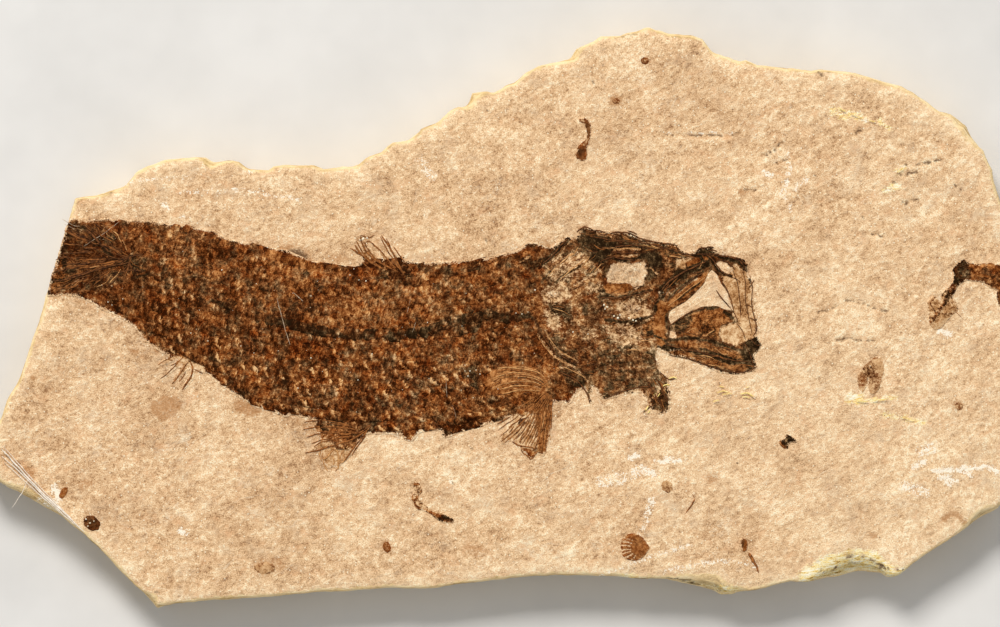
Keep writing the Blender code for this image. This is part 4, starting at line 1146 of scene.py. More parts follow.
@dataclass
class StoneSlab:
    """The split stone: a layered broken edge round a faintly swelling face."""

    material: Material
    beds: list[list[Array]]      # outlines of the fossils and their openings: the face dips under them
    grid: float = 0.285
    edge_step: float = 0.32
    plan_level: float = 3.2003        # the level at which the slab is widest
    chip_floor: float = 3.2
    stairs: int = 7                   # ledges in a chip
    hollow: float = 3.0               # how much shallower a chip is at its top
    bed_dip: float = 0.2
    rim_drop: float = 0.09
    bedding: tuple[tuple[float, float, float], ...] = (
        (0.0, 0.50, 0.45), (1.0, 0.08, 0.25), (2.0, 0.35, 0.45), (2.5, 0.05, 0.15), (3.2, 0.00, 0.00),
        (4.3, 0.20, 0.30), (5.15, 0.03, 0.06), (5.5, 0.26, 0.10))
    chips: tuple[tuple[float, float, float, float], ...] = (
        (85.2, 57.4, 5.2, 1.9), (71.0, 59.2, 5.0, 1.1), (3.0, 50.1, 5.0, 0.5), (47.2, 9.4, 1.6, 0.5),
        (21.0, 15.8, 1.6, 0.4), (96.5, 12.2, 3.0, 0.5), (98.6, 51.7, 3.0, 0.5), (57.2, 5.2, 1.5, 0.4),
        (15.0, 60.4, 1.8, 0.4))
    low_levels: tuple[float, ...] = (0.0, 0.3, 0.95, 1.1, 1.6, 1.95, 2.1, 2.45, 2.9)
    bay: float = 3.1                  # length of the rim's bays
    chip_slope: float = 0.2           # share of a chip that is a slope, and not stairs
    layer_depth: float = 0.22         # how far broken layers stand back in a chip
    grain_depths: tuple[float, float, float] = (0.030, 0.018, 0.040)  # of broad, fine and fibrous grain
    lean_from: float = -22.0          # where along x the fibrous grain starts to lean
    lean_over: float = 40.0
    ledge_depth: float = 0.14
    face_from: float = 5.25           # corners above this belong to the face
    marked_from: float = 2.9          # marks fade in above this
    marked_slope: float = 0.15        # and on what faces upwards more than this

    def levels(self) -> list[float]:
        """The levels of the edge, with two close together at each ledge."""
        rise = (SHEET.face - self.chip_floor) / self.stairs
        stairs = [self.chip_floor + rise * (i + share) for i in range(self.stairs) for share in (0.0, 0.5, 0.93)]
        return [*self.low_levels, *stairs[:-1]]

    def edge_at(self, outline: Array, height: float) -> Array:
        """The broken edge at one level.

        Args:
            outline: the slab at its widest.
            height: the level, in millimetres.

        Returns:
            The ring of the edge there.
        """
        rows = [back + wander * np.array([noise.noise(Vector((x / self.bay, y / self.bay, 10.0 * i)))
                                          for x, y in outline])
                for i, (_, back, wander) in enumerate(self.bedding)]
        above = min(sum(height >= row[0] for row in self.bedding), len(self.bedding) - 1)
        low, high = self.bedding[above - 1][0], self.bedding[above][0]
        share = min(1.0, (height - low) / (high - low))
        back = np.maximum(rows[above - 1], 0) * (1 - share) + np.maximum(rows[above], 0) * share
        rise = max(0.0, height - self.chip_floor) / (SHEET.face - self.chip_floor)
        stepped = math.floor(rise * self.stairs + 1e-6) / self.stairs
        broken = np.zeros(len(outline))
        for x, y, reach, depth in self.chips:
            away = np.linalg.norm(outline - SHEET.place((x * 10, y * 10))[0], axis=1)
            near = 1 - eased((away + 0.7 * ripple(outline + 17 * stepped, 1.6, 33, 3)) / reach)
            cut = self.chip_slope * rise ** self.hollow + (1 - self.chip_slope) * stepped ** self.hollow
            back = back + depth * cut * near
            broken = np.maximum(broken, near * min(1, depth))
        layer = ripple(outline + np.array([height * 31.7, height * 12.3]), 1.3, 40, 3)
        sheet = ripple(outline + 31 * stepped, 0.9, 41, 3)
        back = back + (0.06 if height < 5.2 else 0.02) * (1 + layer) + self.layer_depth * rise * broken * (1 + sheet)
        return outline - outward(outline, 7) * back[:, None]

    def ground(self, points: Array) -> Array:
        """Height of the face with its grain, as if no fossil lay in it."""
        side = self.lean_at(points)
        broad, fine, fibrous = self.grain_depths
        grain = broad * ripple(points, 3.4, 11, 2) + fine * ripple(points, 0.8, 14, 2)
        for turn, share, seed in ((38, side, 17), (3, 1 - side, 18)):
            angle = math.radians(turn)
            along = points @ np.array([math.cos(angle), math.sin(angle)])
            across = points @ np.array([-math.sin(angle), math.cos(angle)])
            grain += share * fibrous * ripple(np.stack([along / 2.2, across], axis=1), 1.5, seed, 3)
        return SHEET.face_height(points) + grain

    def lean_at(self, points: Array) -> Array:
        """How far the grain leans, from 0 on the left to 1 on the right."""
        return eased((points[:, 0] - self.lean_from) / self.lean_over + 0.2 * ripple(points, 12.0, 19))

    def face_at(self, points: Array, rim: Array) -> Array:
        """Height of the face, lowered at its rim, in its cracks and under the fossils.

        Args:
            points: rows of x and y in millimetres.
            rim: the ring of the face.

        Returns:
            One height for each point.
        """
        heights = self.ground(points)
        depth = distance_to(points, rim, closed=True)
        heights -= self.rim_drop * (1 - eased(depth / 0.7)) * (1 + 0.6 * ripple(points, 1.1, 21, 2))
        for half, flat in rows_of(LEDGES):
            line = SHEET.place(flat)
            near = near_to(points, line, 1.0)
            away = distance_to(points[near], line)
            heights[near] -= self.ledge_depth * (1 - eased(away / (2.2 * half)))
        for bed, *openings in self.beds:
            near = near_to(points, bed)
            depth = depth_in(points[near], bed)
            for opening in openings:
                depth = np.minimum(depth, -depth_in(points[near], opening))
            heights[near] -= self.bed_dip * eased(depth / 0.45 - 0.3)
        return heights

    def build(self) -> Piece:
        """Builds the slab.

        Returns:
            The finished piece.
        """
        plan = section("stone_slab", self.plan_level)[0]
        outline = ragged(divided(rounded(plan, 1, closed=True), self.edge_step, closed=True), 0.16, 1.1, 3)
        shell = Shell()
        below: list[int] = []
        for height in self.levels():
            edge = self.edge_at(outline, height)
            if not below:
                below = shell.cap([edge], np.empty((0, 2)), lambda points: np.zeros(len(points)), upward=False)[0]
                continue
            wave = 0.12 * ripple(edge, 5.0, 9, 2) if 0.5 < height < 5.3 else 0.0
            ring = shell.ring(edge, np.full(len(edge), height) + wave)
            shell.wall(below, ring)
            below = ring
        rim = self.edge_at(outline, SHEET.face)
        inner = honeycomb(rim.min(0), rim.max(0), self.grid, seed=2)
        inner = inner[depth_in(inner, rim) > 0.5 * self.grid]
        top = shell.cap([rim], inner, lambda points: self.face_at(points, rim), upward=True)[0]
        shell.wall(below, top)
        made = shell.to_object("split_stone", self.material)
        self.dress(made, rim)
        return enrol(made, "stone", "stone_slab")

    def dress(self, made: Piece, rim: Array) -> None:
        """Stores where the stone is stained, yellow, chalky, dark, cream or lighter; its dark marks are partly painted
        shade in the cracks and ledges.

        Args:
            made: the slab.
            rim: the ring of the face.
        """
        place = plan_of(made)
        plan = place[:, :2]
        facing = np.empty(len(plan) * 3)
        made.data.vertex_normals.foreach_get("vector", facing)
        level = eased((facing[2::3] - self.marked_slope) / 0.4) * eased((place[:, 2] - self.marked_from) / 0.4)
        # The ledges' lines join the marks under the shade mark: painted shade in the cracks.
        shown = paint(plan, daubs(StoneMark, f"{STONE_MARKS}shade 70:{LEDGES}"), wander=0.15) * level[:, None]
        face = place[:, 2] > self.face_from
        for mark in StoneMark:
            note(made, mark.name.lower(), shown[:, mark.value])
        depth = depth_in(plan, rim)
        note(made, "rim", np.where(face, 0.8 * (1 - eased((depth + 0.02) / 0.22)), 1.0))
        note(made, "lean", self.lean_at(plan))
        tilt = 0.16 * plan[:, 0] / 50 - 0.08 * plan[:, 1] / 29
        worn = (1 - eased(depth / 2.2)) * (0.5 + 0.5 * ripple(plan, 2.4, 55, 3))
        broad = 0.22 * ripple(plan, 11.0, 51, 4) * (1 + 0.4 * self.lean_at(plan))
        note(made, "light", np.clip(tilt + broad + 0.7 * worn * face, -0.6, 0.75))


# ---------------------------------------------------------------- fossils that lie in the face
@dataclass
class FossilPlate:
    """A thin fossil on the face: a ragged plate with a rounded, grained top."""

    node: str
    name: str
    slot: str
    material: Material
    ground: Callable[[Array], Array]
    marks: tuple[Daub, ...] = ()
    lifts: str = ""           # rows of change of tone, feather and ring
    grid: float = 0.12
    edge: float = 0.05        # height of the rim above the face
    crown: float = 0.14       # height of the middle
    shoulder: float = 0.5     # how far in from the rim the middle starts
    bite: float = 0.12        # how far the rim is eaten back
    relief: float = 0.02
    fringe: float = 1.25      # how much of the rim is worn down to stone
    fringe_width: float = 0.42
    rim_rust: float = 0.0     # how rusty the rim is
    plan_level: float = 5.3
    underside: float = 5.15
    swell: float = 0.0        # how far the rim is let out first
    seed: int = 30
    outline: Flat = ()        # a finer outline than the solid's, where there is one
    dusty: Flat = ()          # ring of the area that looks dusty
    rims: list[Array] = field(init=False)

    def __post_init__(self) -> None:
        """Takes the fossil's rim and its openings from the solid, unless it has its own outline."""
        own = counter_clockwise(SHEET.place(self.outline)) if self.outline else None
        self.rims = section(self.node, self.plan_level) if own is None else [own]

    def reach(self, points: Array) -> Array:
        """Distance of each point from the nearest rim."""
        return np.min([distance_to(points, rim, closed=True) for rim in self.rims], axis=0)

    def thickness(self, points: Array, shown: Array) -> Array:
        """How far the fossil stands above the face.

        Args:
            points: rows of x and y in millimetres.
            shown: the shares of the marks at each point.

        Returns:
            One thickness for each point.
        """
        body = self.edge + (self.crown - self.edge) * eased(self.reach(points) / self.shoulder)
        thin = 1 - 0.8 * shown[:, BARE.value] - 0.3 * shown[:, FILM.value]
        grain = self.relief * (ripple(points, 0.5, self.seed, 2) + 0.8 * ripple(points, 0.24, self.seed + 3))
        return body * thin + grain * (0.5 + 0.5 * thin) + 0.03 * shown[:, INK.value]

    def top(self, points: Array) -> Array:
        """Height of the fossil's top."""
        if not len(points):
            return np.empty(0)
        raised = np.maximum(self.thickness(points, paint(points, self.marks)), 0.02)
        return np.minimum(self.ground(points) + raised, TOP_LIMIT)

    def filling(self, rings: list[Array]) -> Array:
        """The points that fill the fossil's plan."""
        inner = honeycomb(rings[0].min(0), rings[0].max(0), self.grid, self.seed)
        return inner[depth_in(inner, self.rims[0]) > 0]

    def build(self) -> Piece:
        """Builds the fossil.

        Returns:
            The finished piece.
        """
        rings = []
        for i, ring in enumerate(self.rims):
            fine = divided(rounded(ring, 1, closed=True), self.grid, closed=True)
            fine = fine + outward(fine, 3) * (self.swell if i == 0 else 0)
            rings.append(ragged(fine, self.bite * (0.45 if i else 1), 0.6, self.seed + i))
        shell = Shell()
        shell.plate(rings, self.filling(rings), self.top, self.underside)
        made = shell.to_object(self.name, self.material)
        self.dress(made)
        return enrol(made, self.slot, self.node)

    def dress(self, made: Piece) -> None:
        """Stores what the marks show at each corner."""
        plan = plan_of(made)[:, :2]
        shown = paint(plan, self.marks)
        away = distance_to(plan, self.rims[0], closed=True)
        within = np.where(inside(plan, self.rims[0]), away, -away) + self.swell
        kept = 1 - 0.6 * shown[:, INK.value] - 0.9 * shown[:, RUST.value]
        note(made, "fringe", self.fringe * (1 - eased(within / self.fringe_width)) * kept.clip(0))
        shown[:, RUST.value] += self.rim_rust * (1 - eased(within / 0.8)) * (1 - shown.sum(axis=1)).clip(0)
        for mark in BoneMark:
            note(made, mark.name.lower(), shown[:, mark.value])
        note(made, "lift", self.lift_at(plan))
        if self.dusty:
            note(made, "dusty", 0.28 * feathered(plan, SHEET.place(self.dusty), 1.2))

    def lift_at(self, plan: Array) -> Array:
        """How much lighter or darker than plain the fossil is at each point."""
        lift = np.zeros(len(plan))
        for change, feather, flat in rows_of(self.lifts, 2):
            lift += change * feathered(plan, SHEET.place(flat), feather)
        return lift


# ---------------------------------------------------------------- the fish
AXIS = "40 262 30 0 35 2 35 7 50 15 50 24 20 7 25 7 25 5 30 4 30 2 30 0 20 -3 20 -5 20 -6 20 -4 20 -6 30 -11 30 -10"
LATERAL_LINE = "500 312 -20 6 -20 3 -20 5 -20 7 -20 2 -30 0 -30 -1 -30 -4 -50 -12 -20 -6 -25 -12 -25 -15 -25 -10 \
-40 -14"
UPPER_FLANK = "75 222 55 0 60 6 50 15 60 12 45 10 55 7 135 -22 0 50 -35 6 -40 9 -40 11 -50 4 -60 -5 -50 -13 -45 -18 \
-50 -24 -40 -14"
HEAD = "545 240 35 -18 120 18 70 20 0 125 -90 35 -80 -15 -35 -25 -20 -50"
SNOUT = "578 229 14 -2 20 7 28 4 36 8 26 7 -12 7 -30 -2 -20 -4 -30 4 -18 0 -12 -12"
ROOF = "543 268 17 -21 20 -7 26 22 -4 20 -30 8 -27 0"
GILL = "545 305 55 -5 56 44 3 41 -19 7 -34 3 -31 -15 -27 -35"
MAXILLA = "706 260 2 16 -42 33 -8 -9 6 -14 20 -16"
LOWER_JAW = "668 333 22 -20 28 -4 14 9 -8 12 -4 8 -30 -1"
MANDIBLE = "664 345 26 -3 30 3 26 5 12 16 -22 8 -36 -12 -30 -6"
THROAT = "645 376 23 -2 5 30 -11 12 -14 -16"
UPPER_PECTORAL = "486 380 14 -14 30 1 20 11 0 14 -30 5 -26 -1"
LOWER_PECTORAL = "500 434 22 -24 31 -10 -3 46 -12 10 -20 -10"
TAIL = "52 268 14 -44 34 -2 40 18 10 30 -30 14 -30 6 -40 2"
CHEEK = "600 284 40 -6 28 7 -6 60 -42 1 -20 -26"
PREMAXILLA = "722 280 13 -14 13 6 8 28 2 35 -10 7 -12 -24"
FISH_MARKS = f"""
rust patch: 220 16 {UPPER_FLANK}
ink patch: 200 28 {TAIL}
ink 22, lateral line: 32 {LATERAL_LINE}
ink 55: 24 306 328 12 3 12 1; 30 338 335 14 2 20 -2; 26 384 336 14 -1 14 -1; 30 424 331 14 -2 14 -4
32 460 322 18 -3 16 -5; 30 510 318 20 -2; 30 420 340 20 -6; 30 268 318 16 4 12 4
ink 45: 40 455 330 15 -4 30 -8; 50 385 274 15 2 12 4; 30 440 272 15 2; 30 470 272 12 -4; 50 500 262 12 6
40 524 262 10 2; 30 350 280 30 -1; 30 220 304 12 -2; 35 205 305 13 -5; 50 262 282 4 6; 40 158 308 8 -2
50 372 424 8 -12 -2 -12; 40 320 422 18 2; 40 400 408 12 4; 50 470 372 8 12; 40 506 400 6 14; 40 440 428 6 6
film patch, tail: 25 80 74 219 6 -6 8 2 1 6 -9 1
rust patch: 60 50 50 268 12 -6 6 14 -8 16 -14 2; 60 35 96 266 16 2 -2 9 -14 -2
ink 75: 22 84 228 26 26; 14 88 238 8 7; 16 50 281 12 0 23 -7 13 -6; 12 105 268 15 -3 10 -3; 14 112 275 18 -5 16 1
12 132 278 14 -3; 16 78 266 14 -4 12 -4; 30 108 252 8 10 8 0; 20 64 262 2 10 8 1
film 50: 10 62 289 10 -6 10 -4; 9 72 228 12 2; 12 55 272 9 -4; 10 126 248 5 5; 9 137 224 11 6
film patch, nape and skull roof: 50 45 560 262 12 -12 10 0 8 12 -12 14 -18 10 -12 -6
film 60: 12 547 277 11 -11 14 -13; 12 559 281 15 -14 14 -10; 12 553 263 9 -11 6 -9; 16 566 262 14 -8
12 540 268 12 -10; 14 575 285 15 -9 10 -6; 12 520 262 10 -6
ink 70: 22 543 264 9 -8 8 -10 8 -7; 12 552 286 14 -12 18 -10; 12 541 282 9 -10; 20 590 284 10 6 12 6
ink patch: 40 42 576 229 14 -3 22 8 16 -3 14 7 18 4 16 6 24 6 -10 6 -18 -4 -22 0 -36 -9 -12 15 -12 -4 -10 -12
40 35 584 240 16 -1 13 7 3 12 -12 6 -14 -6; 40 45 641 258 14 -8 9 12 -4 15 -12 -1 -7 -8
film patch: 120 13 545 290 55 -6 55 16 0 40 -55 5 -52 -10; 90 5 {GILL}
ink patch: 60 6 {MANDIBLE}
rust patch: 60 33 {MANDIBLE}; 50 42 {LOWER_JAW}
rust 100: 50 272 254 26 8 14 6
ink 30: 50 284 264 14 2 10 4
film patch: 50 40 300 428 18 -4 24 6 4 12 -16 8 -18 -6
rust patch: 30 35 656 243 21 2 4 7 -3 6 -18 -4; 30 25 662 262 14 0 8 6 -16 8 -8 -4
ink 90: 22 643 256 9 0 8 2; 12 640 241 12 2 14 4 14 7 20 1; 12 612 247 18 -2 20 2; 12 610 258 12 3 18 -4
film 85: 10 614 250 12 -2 14 1; 8 617 255 11 1 10 -2; 14 598 234 13 2; 8 650 268 8 6; 9 640 242 15 3
film patch: 25 90 677 259 14 -1 1 5 -8 7 -8 -2
bare patch: 30 100 611 266 8 -4 13 2 12 -2 3 10 -4 12 -7 5 -8 -6 -15 1 -6 -8
film patch, cheek: 50 80 541 292 11 -7 16 3 2 8 -14 7 -12 -1; 50 75 617 304 14 -5 14 4 3 9 -12 8 -14 -3
60 60 607 326 18 -4 13 6 4 10 -14 5 -17 -2; 30 60 547 317 12 0 1 10 -7 4 -6 -4; 30 45 543 308 13 0 1 9 -13 0
bare patch: 40 55 545 292 8 -4 9 2 -2 7 -12 2; 40 50 622 305 10 -3 10 4 -2 7 -14 2
50 35 613 329 12 -4 10 5 -5 8 -13 0; 14 95 658 292 7 -4 3 4 -5 7 -4 -2; 14 90 668 331 8 0 1 7 -7 1
12 80 666 346 10 1 5 3 -11 1
film patch: 40 50 636 318 14 -10 7 6 -11 10 -6 10; 30 55 582 333 14 -3 0 8 -12 2; 30 50 585 286 15 -4 3 8 -13 4
rust patch: 15 95 604 286 8 -3 20 1 1 5 -11 4 -16 0; 30 60 640 324 12 -6 6 6 -2 14 -11 2
ink patch: 35 50 549 306 15 -4 9 6 -5 9 -15 -3; 40 30 578 300 22 0 7 18 -17 9
40 22 600 346 40 -5 17 6 3 27 -5 12 -51 5 -7 -21; 20 60 628 321 14 -3 2 6 -12 3; 12 80 646 332 7 -2 1 5 -6 1
ink 90: 10 598 297 14 0 14 -1 26 -6; 12 606 320 16 2 30 -6
ink 30: 12 606 356 34 -4 16 1; 12 604 364 36 -3 18 2; 12 604 372 36 -1 18 2; 12 603 380 37 -1 16 1
film 25: 7 612 351 20 -2 22 -1; 6 610 360 40 -3; 6 608 368 42 -1
film 55: 10 640 341 16 -1; 22 622 345 6 -4 8 0; 12 600 397 18 -2 22 -6; 12 538 334 7 12 11 12 18 9
10 545 331 7 12 11 11 15 7; 10 560 366 18 6 10 9
ink 50: 10 541 332 7 12 11 12 17 9; 12 572 383 10 4 6 9 2 7; 12 560 372 14 6 10 8; 20 534 318 4 10 3 8
14 604 398 16 -7 20 -5
ink 80, jaws: 42 705 263 -15 7 -14 8 -12 10; 30 664 290 -4 10 -3 8
rust 100: 40 706 277 -22 16 -19 16; 22 688 264 12 -5 7 -2; 50 662 306 -2 12 0 14 2 11
ink 85: 10 704 271 -14 9 -12 10 -10 10; 10 700 283 -12 8 -10 9; 12 667 314 2 16 -3 15; 12 655 336 9 4 8 10
14 658 346 10 4
film 60: 8 697 278 -13 9 -10 9
film patch: 30 95 722 276 12 -12 13 8 6 18 3 20 1 25 -7 8 -9 -13 -9 -18 -5 -16
ink 95: 34 722 256 10 2 10 4 4 6; 20 697 252 9 -1 20 6; 18 700 246 12 3; 16 706 254 7 6 5 8 7 6 6 2; 20 700 256 6 8
bare patch: 10 100 715 264 5 -3 8 3 5 6 -4 3 -9 -3
rust patch: 30 45 674 326 16 -11 16 -6 14 1 10 5 1 5 -9 8 -3 9 -19 1 -20 -3
ink patch: 30 40 700 322 16 4 0 11 -18 0; 30 50 668 328 16 -12 8 0 -2 14 -12 5
ink 85: 13 667 328 13 -10 12 -7 14 -3 12 0; 12 724 311 9 7; 16 668 340 22 -2 22 3 18 7 16 4
film patch: 20 100 721 327 13 -4 12 3 4 9 -4 8 -12 2 -11 -3 -4 -7
rust 35: 20 676 343 24 3 44 12; 20 688 356 48 12 16 0
ink 85: 16 664 346 42 8 22 8 20 2; 14 670 356 20 3 22 8 20 6; 12 700 348 22 8 20 6
ink patch: 25 80 744 341 13 -5 5 9 -6 7 1 16 -9 4 -5 -12 -2 -10
ink patch, throat: 35 40 650 376 18 -2 3 18 1 16 -10 8 -12 -16
film 80: 16 660 388 7 -2; 14 653 397 5 -6; 12 646 412 4 -8; 10 668 378 6 1
film patch: 30 60 572 392 10 -2 6 10 -12 3; 30 40 640 392 10 -2 2 12 -8 2
rust patch, pectoral fins: 40 85 490 372 15 -5 25 2 16 8 5 9 -11 6 -20 3 -20 1 -10 -4 -6 -8
film 80: 32 503 379 6 0; 6 541 378 -11 -5 -14 -2 -16 2; 6 541 384 -13 -6 -16 -1; 6 540 388 -16 -4 -16 1
film patch: 35 95 498 434 10 -14 12 -8 18 -1 3 19 -5 20 -16 -4 -17 0
rust patch: 30 80 533 410 19 -2 -1 22 -5 22 -8 -2 -2 -20
ink patch: 50 25 519 399 11 -7 15 -3 8 5 0 16 -13 4 -14 -5
rust patch: 40 50 522 400 12 -8 18 0 1 18 -13 4 -14 -4
rust patch, pelvic, anal and dorsal fins: 40 50 312 425 33 0 17 9 -10 12 -22 1 -16 -9
film patch: 30 85 300 454 18 -14 22 5 14 5 -12 16 -14 8 -10 -12; 25 90 155 362 20 -7 30 11 1 6 -16 20 -15 0
25 80 345 240 30 -8 25 4 8 24 -18 2 -24 -4
ink patch: 40 55 345 431 17 -11 12 -4 1 14 -13 7 -12 0
"""
FISH_LIFTS = f"""
-2 150 40 215 80 0 30 35 0 70 -50 -10 -60 -10; 3.5 150 {UPPER_FLANK}; 9 100 540 285 60 -5 55 20 0 40 -55 5 -55 -10
12 100 545 245 55 10 5 30 -45 5 -15 -10; 16 60 600 343 60 -2 2 49 -58 8; 5 60 640 372 35 0 0 46 -30 -6
11 60 664 308 70 -2 30 34 -4 36 -96 -16; 12 60 655 300 57 -42 2 22 -46 32; 10 60 486 366 66 0 0 28 -66 2
10 50 494 436 26 -24 34 -14 -2 56 -52 -2; 10 50 300 426 72 -2 -12 21 -30 30 -30 -15
14 50 150 360 46 -8 10 20 -20 22; 4 50 {SNOUT}
"""
# Bones and rays that stand out as strands: half-thickness in mm, then the line.
FIN_RAYS = """
dorsal fin: 9 350 248 12 7 8 7 10 6 8 3; 6 356 241 9 15 7 6 10 6; 8 355 245 3 5 4 4; 8 360 236 1 6 7 13 10 7 20 10
6 363 241 9 15 10 7 12 7; 4 360 235 4 1 4 2 7 -3; 6 366 241 5 0 25 27; 6 380 236 7 14 15 23; 9 381 235 9 12 14 28
4 386 238 3 5 2 5; 6 394 247 4 5 4 7 3 3; 6 362 262 5 4 3 5; 5 405 262 5 4 3 5
upper pectoral fin: 5 547 378 -10 -7 -13 -3 -14 -2 -12 1; 5 546 380 -12 -7 -14 -3 -15 0 -12 4
5 545 382 -13 -6 -14 -2 -14 2 -13 6; 5 544 385 -13 -6 -14 -1 -14 3 -13 6; 5 543 388 -13 -5 -15 0 -14 4
4 548 376 -8 -7 -14 -3 -14 -1; 6 550 380 -6 4 -8 4
lower pectoral fin: 6 547 393 -9 9 -9 12; 6 547 394 -7 8 -7 10; 6 548 394 -6 8 -6 9; 6 548 395 -4 8 -5 8
6 549 395 -3 8 -3 8; 6 549 396 -1 6 -2 6; 5 545 393 -11 9 -12 12; 6 551 394 0 8 -1 8; 5 542 393 -12 7 -16 15
5 538 412 -4 12 -5 11 -7 9; 5 540 411 -3 14 -4 12 -5 10; 6 511 416 -8 5 -6 3; 4 521 414 -23 16
4 527 413 -10 8 -17 16; 6 529 415 -11 12 -17 15; 5 530 418 -15 16 -11 9; 6 533 412 -4 9 -6 10 -7 8
6 536 411 -4 11 -5 11 -8 10; 6 539 411 -3 13 -5 12 -6 9; 6 541 411 -2 15 -4 12 -4 9; 6 543 411 -2 19 -3 12 -4 8
10 546 408 -1 17 -4 27; 9 550 402 -1 16 -4 28; 9 552 398 -1 16 0 15; 7 512 442 8 4 9 1 8 2
6 521 448 1 5 6 2 2 5 4 -4 3 -5
pelvic fin: 8 371 424 -9 8 -10 1 -6 2 -8 -2 -10 0 -10 -2; 8 370 428 -20 13 -10 2 -21 7 -7 1 -7 2
7 368 430 -13 16 -9 13 -4 4; 6 366 434 -6 9 -6 9; 6 356 428 -11 -4 -15 -3 -14 -1 -12 2
6 358 430 -12 -2 -16 -1 -15 0 -12 2; 5 356 432 -10 -1 -16 1 -14 2 -10 3; 6 360 433 -16 1 -16 4 -16 5
6 352 436 -28 5 -10 5; 5 366 431 -10 7 -12 6 -10 3; 5 366 436 -8 10 -6 9; 5 350 426 -14 -2 -14 -1
anal fin: 4 174 356 -8 4 -8 5; 4 180 360 -10 12 -10 7; 6 188 362 -6 8 -5 9 -5 5; 9 190 361 3 7 -1 8 -10 14
4 194 369 9 5; 4 183 357 -5 5 -7 4; 4 186 372 -4 6 -3 4
"""
DARK_RAYS = """
tail fin: 9 85 229 7 6 7 8 9 8; 7 50 281 12 0 24 -7 14 -6 18 -3 12 -3; 6 112 275 18 -5 16 1; 6 78 266 14 -4 14 -5
6 66 232 16 5 16 9; 6 60 254 16 -1 18 -1; 6 54 272 16 -4 18 -6
skull roof and snout: 6 577 232 4 -4 6 -1 6 3; 6 581 229 3 -3 4 2; 6 590 232 8 -2 7 2; 6 597 233 7 2 6 -1
7 610 234 6 -2 8 1; 6 620 232 10 1 10 5; 5 628 231 5 1 4 2; 6 636 237 10 3 10 2
7 590 236 26 5 30 2 14 3 13 4 11 5 16 -1; 7 615 247 13 -2 14 1 14 4; 7 612 252 12 1 16 0; 7 645 241 13 1 20 4
6 600 262 12 -6 10 3 14 1; 7 697 252 3 -4 6 -1; 6 703 250 5 -4 6 2; 5 708 251 5 -1 4 2; 6 700 254 12 0 10 2 10 1
7 722 255 12 3 8 4 4 9; 6 730 256 11 3 6 7; 6 704 253 8 5 5 8 6 7 7 3; 7 714 264 6 -5 9 3 6 8
9 706 262 -12 5 -12 6 -12 8 -9 10; 6 703 272 -13 9 -12 10 -11 11; 6 598 297 14 1 14 -1 14 -3 12 -4
7 543 264 9 -8 8 -10 7 -7
jaws: 6 667 328 13 -10 11 -7 15 -3; 4 668 330 22 3 20 5 16 5 18 7; 6 664 345 42 8 22 7 22 2
5 669 355 21 4 22 8 20 6 18 -2 7 -5; 5 744 341 8 19 2 8; 4 750 338 6 8 6 -1; 4 667 313 2 17 -3 16
strands of the snout's film: 5 716 290 4 7 11 11; 5 722 282 6 9 6 21; 5 733 270 5 14 2 16 1 18
4 742 268 4 14 -1 16 3 18 4 18; 5 750 276 3 16 -2 12 4 14 2 12; 4 731 277 6 2 4 4; 4 744 306 4 -2 4 4
4 748 288 4 -4 2 -4; 5 748 318 8 2 1 10 -4 7; 4 736 322 6 8 4 10; 5 731 309 5 7 2 6
gill cover and throat: 5 534 318 5 12 9 14 12 12 17 9; 7 560 372 16 7 10 11 4 13; 6 604 399 18 -8 20 -5 14 2
7 646 378 6 12 8 12 3 11; 6 656 376 6 14 6 14; 5 660 372 8 8 7 -1; 6 650 402 6 -4 7 -4; 5 643 413 7 -7 6 -2
"""
PALE_RAYS = """
upper pectoral fin: 7 545 377 -9 -6 -26 -4 -13 1; 6 544 380 -12 -6 -14 -2 -14 2 -12 5
6 543 383 -11 -6 -14 -1 -14 2 -13 6; 6 542 386 -12 -5 -14 0 -14 3 -11 5; 6 541 389 -13 -4 -14 1 -14 3
5 541 391 -13 -1 -14 1 -12 3; 5 544 376 -10 -6 -12 -3 -14 -1; 5 543 381 -11 -6 -14 -1 -14 2 -12 5
pelvic fin's loose tips: 7 334 449 -9 11 -4 -2 2 -5; 7 330 447 7 3 2 6 -1 8 1 5; 6 323 460 1 6 4 6
6 343 454 2 6 -4 4 -2 -5; 6 321 450 -2 6 3 6; 5 332 455 3 5 -2 5; 6 348 446 -6 6 -2 6; 5 340 462 -2 6 -3 3
gill cover: 5 537 335 8 12 11 12 16 8; 4 545 331 7 12 11 11 15 7; 4 563 367 15 6 11 9
skull roof and jaw: 6 614 250 12 -2 14 1; 5 705 277 -37 29; 5 640 341 16 -1; 5 547 277 11 -11 14 -13
5 559 281 15 -14 14 -10
"""


@dataclass
class FossilFish(FossilPlate):
    """The fish: a dark skin with trunk, skull, jaws and fin webs, open at the gape and the eye."""

    head_from: float = 3.0        # x at which the finer grid of the head starts
    head_grid: float = 0.108
    trunk_rise: float = 0.20
    trunk_shoulder: float = 2.2

    def thickness(self, points: Array, shown: Array) -> Array:
        """How far the fish stands above the face.

        Args:
            points: rows of x and y in millimetres.
            shown: the shares of the marks at each point.

        Returns:
            One thickness for each point.
        """
        thin = 1 - 0.75 * shown[:, BARE.value] - 0.45 * shown[:, FILM.value]
        body = self.edge + self.trunk_rise * eased(self.reach(points) / self.trunk_shoulder) * thin
        lumps = 0.035 * ripple(points, 1.5, self.seed + 7, 2) + self.relief * ripple(points, 0.42, self.seed, 2)
        return body * (0.4 + 0.6 * thin) + lumps + 0.04 * shown[:, INK.value] + 0.02 * shown[:, RUST.value]

    def filling(self, rings: list[Array]) -> Array:
        """The points that fill the fish's plan, closer together in the head."""
        low, high = rings[0].min(0), rings[0].max(0)
        trunk = honeycomb(low, np.array([self.head_from, high[1]]), self.grid, self.seed)
        head = honeycomb(np.array([self.head_from, low[1]]), high, self.head_grid, self.seed)
        inner = np.vstack([trunk, head])
        return inner[depth_in(inner, self.rims[0]) > 0]


